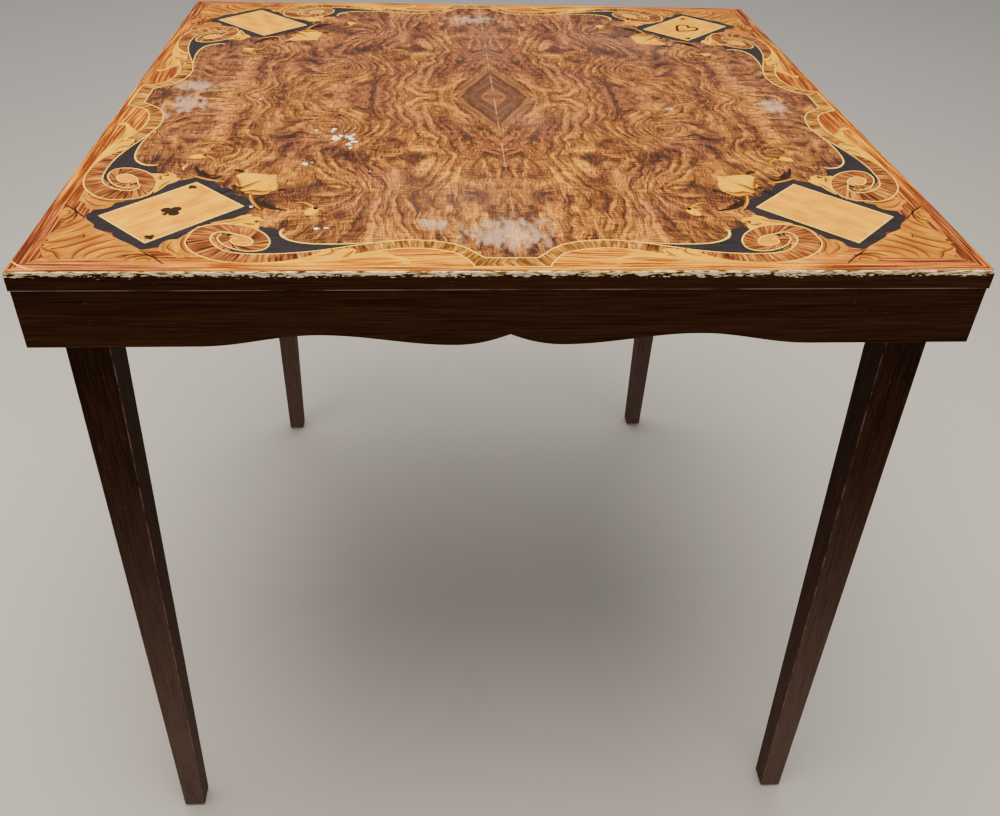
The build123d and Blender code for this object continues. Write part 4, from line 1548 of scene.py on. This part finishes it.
    def wear(self) -> None:
        """Spots of dried paint and scratches through the polish."""
        paint = Inlay("paint_spots", Emulsion(), "satinwood", self.top + self.spot_height,
                      self.spot_thickness)
        angles = [2 * pi * step / self.spot_steps for step in range(self.spot_steps)]
        for x, y, reach_x, reach_y in self.paint_spots:
            paint.plate([
                (x + reach_x * (1 + self.spot_wave * sin(3 * angle + x)) * cos(angle),
                 y + reach_y * (1 + self.spot_wave * cos(2 * angle + y)) * sin(angle))
                for angle in angles
            ], Copies.ONE)
        paint.make()
        scratches = Inlay("scratches_in_the_top", Boxwood("bare wood in a scratch"), "satinwood",
                          self.top + self.splinter_height, self.splinter_thickness)
        for line in self.scratches:
            scratches.line(line, kind=Copies.ONE)
        scratches.make()


@dataclass
class Carcase:
    """Apron, lippings, core and the wood inside, which keep their CAD shapes."""

    top: float
    # How far down from the top the front lipping is worn bare, and how much less the others are
    worn: float = 4.4
    less_worn: float = 2.8
    # How far down from the top the lippings reach
    lipping_depth: float = 16.7

    def dress(self) -> None:
        """Gives each wooden node its finish."""
        for side, grain in (("front", Grain.X), ("back", Grain.X), ("left", Grain.Y), ("right", Grain.Y)):
            dress("apron_" + side, StainedWalnut(
                "dark stained walnut apron along " + grain.name, grain=grain))
            dress("edge_lipping_" + side, StainedWalnut(
                "worn walnut lipping at the " + side, grain=grain,
                joint_height=self.top - self.lipping_depth,
                worn_from=self.top - self.worn + (0.0 if side == "front" else self.less_worn)))
        for nodes, name, grain, dark, light in (
            (("bearer_left", "bearer_right"), "stained softwood along Y", Grain.Y, "#3a2416", "#6a4830"),
            (("glue_blocks",), "stained softwood along X", Grain.X, "#3a2416", "#6a4830"),
            (("mitre_keys",), "beech key", Grain.Z, "#8a6238", "#b88f5e"),
            (("top_core",), "core board", Grain.X, "#7a5a3a", "#a98458"),
        ):
            for node in nodes:
                dress(node, PlainWood(name, grain=grain, dark=dark, light=light))


@dataclass
class FoldingLegs:
    """Legs, glides and their steel hardware, which keep their CAD shapes."""

    # Height below which the legs get a painted pale sheen
    painted_sheen_below: float = 600.0

    def dress(self) -> None:
        """Gives each leg and its hardware their finishes."""
        steel = ZincSteel()
        # The leg's paler colour serves its scuffs and its painted arris highlight, and its low part gets
        # a painted pale sheen
        walnut = StainedWalnut("dark stained walnut leg", grain=Grain.Z, dark="#180a06", light="#40281a",
                               scuff_and_arris_highlight="#7a6454", painted_sheen_below=self.painted_sheen_below)
        for end in ("front", "rear"):
            for side in ("left", "right"):
                place = "_" + end + "_" + side
                dress("leg" + place, walnut)
                for part in ("glide", "brace_pin", "brace_strap", "slider_stud", "side_plate"):
                    dress(part + place, steel)
        for part in ("pivot_studs", "pivot_washers", "pivot_nuts", "plate_screws", "bearer_screws"):
            dress(part, steel)


def dress(node: str, finish: Finish) -> None:
    """Gives a CAD node its finish.

    Args:
        node: Name of the node.
        finish: Finish that it gets.
    """
    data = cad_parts[node].data
    data.materials.clear()
    data.materials.append(finish.material())
    log.info("%s: %s", node, finish.name)


@dataclass(frozen=True)
class SoftLight:
    """Soft light: its name, middle, aim, width and depth, power in watts and colour."""

    name: str
    middle: Triple
    aim: Triple
    size: Point
    power: float
    colour: str

    def build(self) -> None:
        """Hangs the light and turns it towards its aim."""
        lamp = bpy.data.lights.new(self.name, "AREA")
        lamp.shape = "RECTANGLE"
        lamp.size, lamp.size_y = (side * MM for side in self.size)
        lamp.energy = self.power
        lamp.color = linear(self.colour)[:3]
        holder = bpy.data.objects.new(self.name, lamp)
        holder.location = Vector(self.middle) * MM
        direction = Vector(self.aim) - Vector(self.middle)
        holder.rotation_euler = direction.to_track_quat("-Z", "Y").to_euler()
        bpy.context.scene.collection.objects.link(holder)


@dataclass
class Studio:
    """Floor, soft lights and the camera."""

    floor_size: float = 24000.0
    # Camera that was fitted to the corners of the top, the apron and the feet
    eye: Triple = (-64.02, -1026.22, 1089.75)
    aim_degrees: Triple = (53.952, -1.555, -3.026)
    sensor_width: float = 36.0
    picture_width: float = 1000.0
    focal_pixels: float = 963.36
    shift: Point = (0.01238, -0.0198)
    lights: tuple[SoftLight, ...] = (
        SoftLight("soft_key", (-120, -220, 1980), (0, -60, 730), (1500, 1300), 44.0, "#fff3e2"),
        SoftLight("soft_fill", (900, -2300, 1500), (0, 0, 400), (1400, 1400), 7.0, "#fff6ec"),
        SoftLight("soft_back", (0, 1700, 4200), (0, 1900, 0), (3000, 2400), 60.0, "#fff6ec"),
    )
    sky: str = "#e8e8ea"
    sky_strength: float = 0.34

    def build(self) -> None:
        """Builds the floor, the lights, the sky and the camera."""
        self.floor()
        for light in self.lights:
            light.build()
        world = bpy.data.worlds.new("studio_sky")
        world.use_nodes = True
        background = world.node_tree.nodes["Background"]
        background.inputs["Color"].default_value = linear(self.sky)
        background.inputs["Strength"].default_value = self.sky_strength
        bpy.context.scene.world = world
        self.camera()
        log.info("studio: floor, %d lights, sky and camera", len(self.lights))

    def floor(self) -> None:
        """Large flat floor, marked as no part of the table."""
        mesh = bmesh.new()
        bmesh.ops.create_grid(mesh, x_segments=4, y_segments=4, size=self.floor_size / 2 * MM)
        data = bpy.data.meshes.new("studio_floor")
        mesh.to_mesh(data)
        mesh.free()
        ground = bpy.data.objects.new("studio_floor", data)
        bpy.context.scene.collection.objects.link(ground)
        data.materials.append(PaleFloor().material())
        ground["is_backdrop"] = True

    def camera(self) -> None:
        """Camera at the photograph's place, angle and width of view."""
        lens = bpy.data.cameras.new("view")
        lens.sensor_fit = "HORIZONTAL"
        lens.sensor_width = self.sensor_width
        lens.lens = self.focal_pixels * self.sensor_width / self.picture_width
        lens.shift_x, lens.shift_y = self.shift
        holder = bpy.data.objects.new("view", lens)
        holder.location = Vector(self.eye) * MM
        holder.rotation_euler = Euler([radians(angle) for angle in self.aim_degrees])
        bpy.context.scene.collection.objects.link(holder)
        bpy.context.scene.camera = holder


def main() -> None:
    """Builds the table's looks round its frame."""
    logging.basicConfig(level=logging.INFO, format="%(message)s")
    cad_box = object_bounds()
    half_width, _, top = (round(reach / MM, 3) for reach in cad_box[1])
    Marquetry(half_width, top).build()
    Carcase(top).dress()
    FoldingLegs().dress()
    Studio().build()
    boxes = {"cad": cad_box, "visual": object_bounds()}
    boxes = {name: [list(corner) for corner in box] for name, box in boxes.items()}


if __name__ == "__main__":
    main()
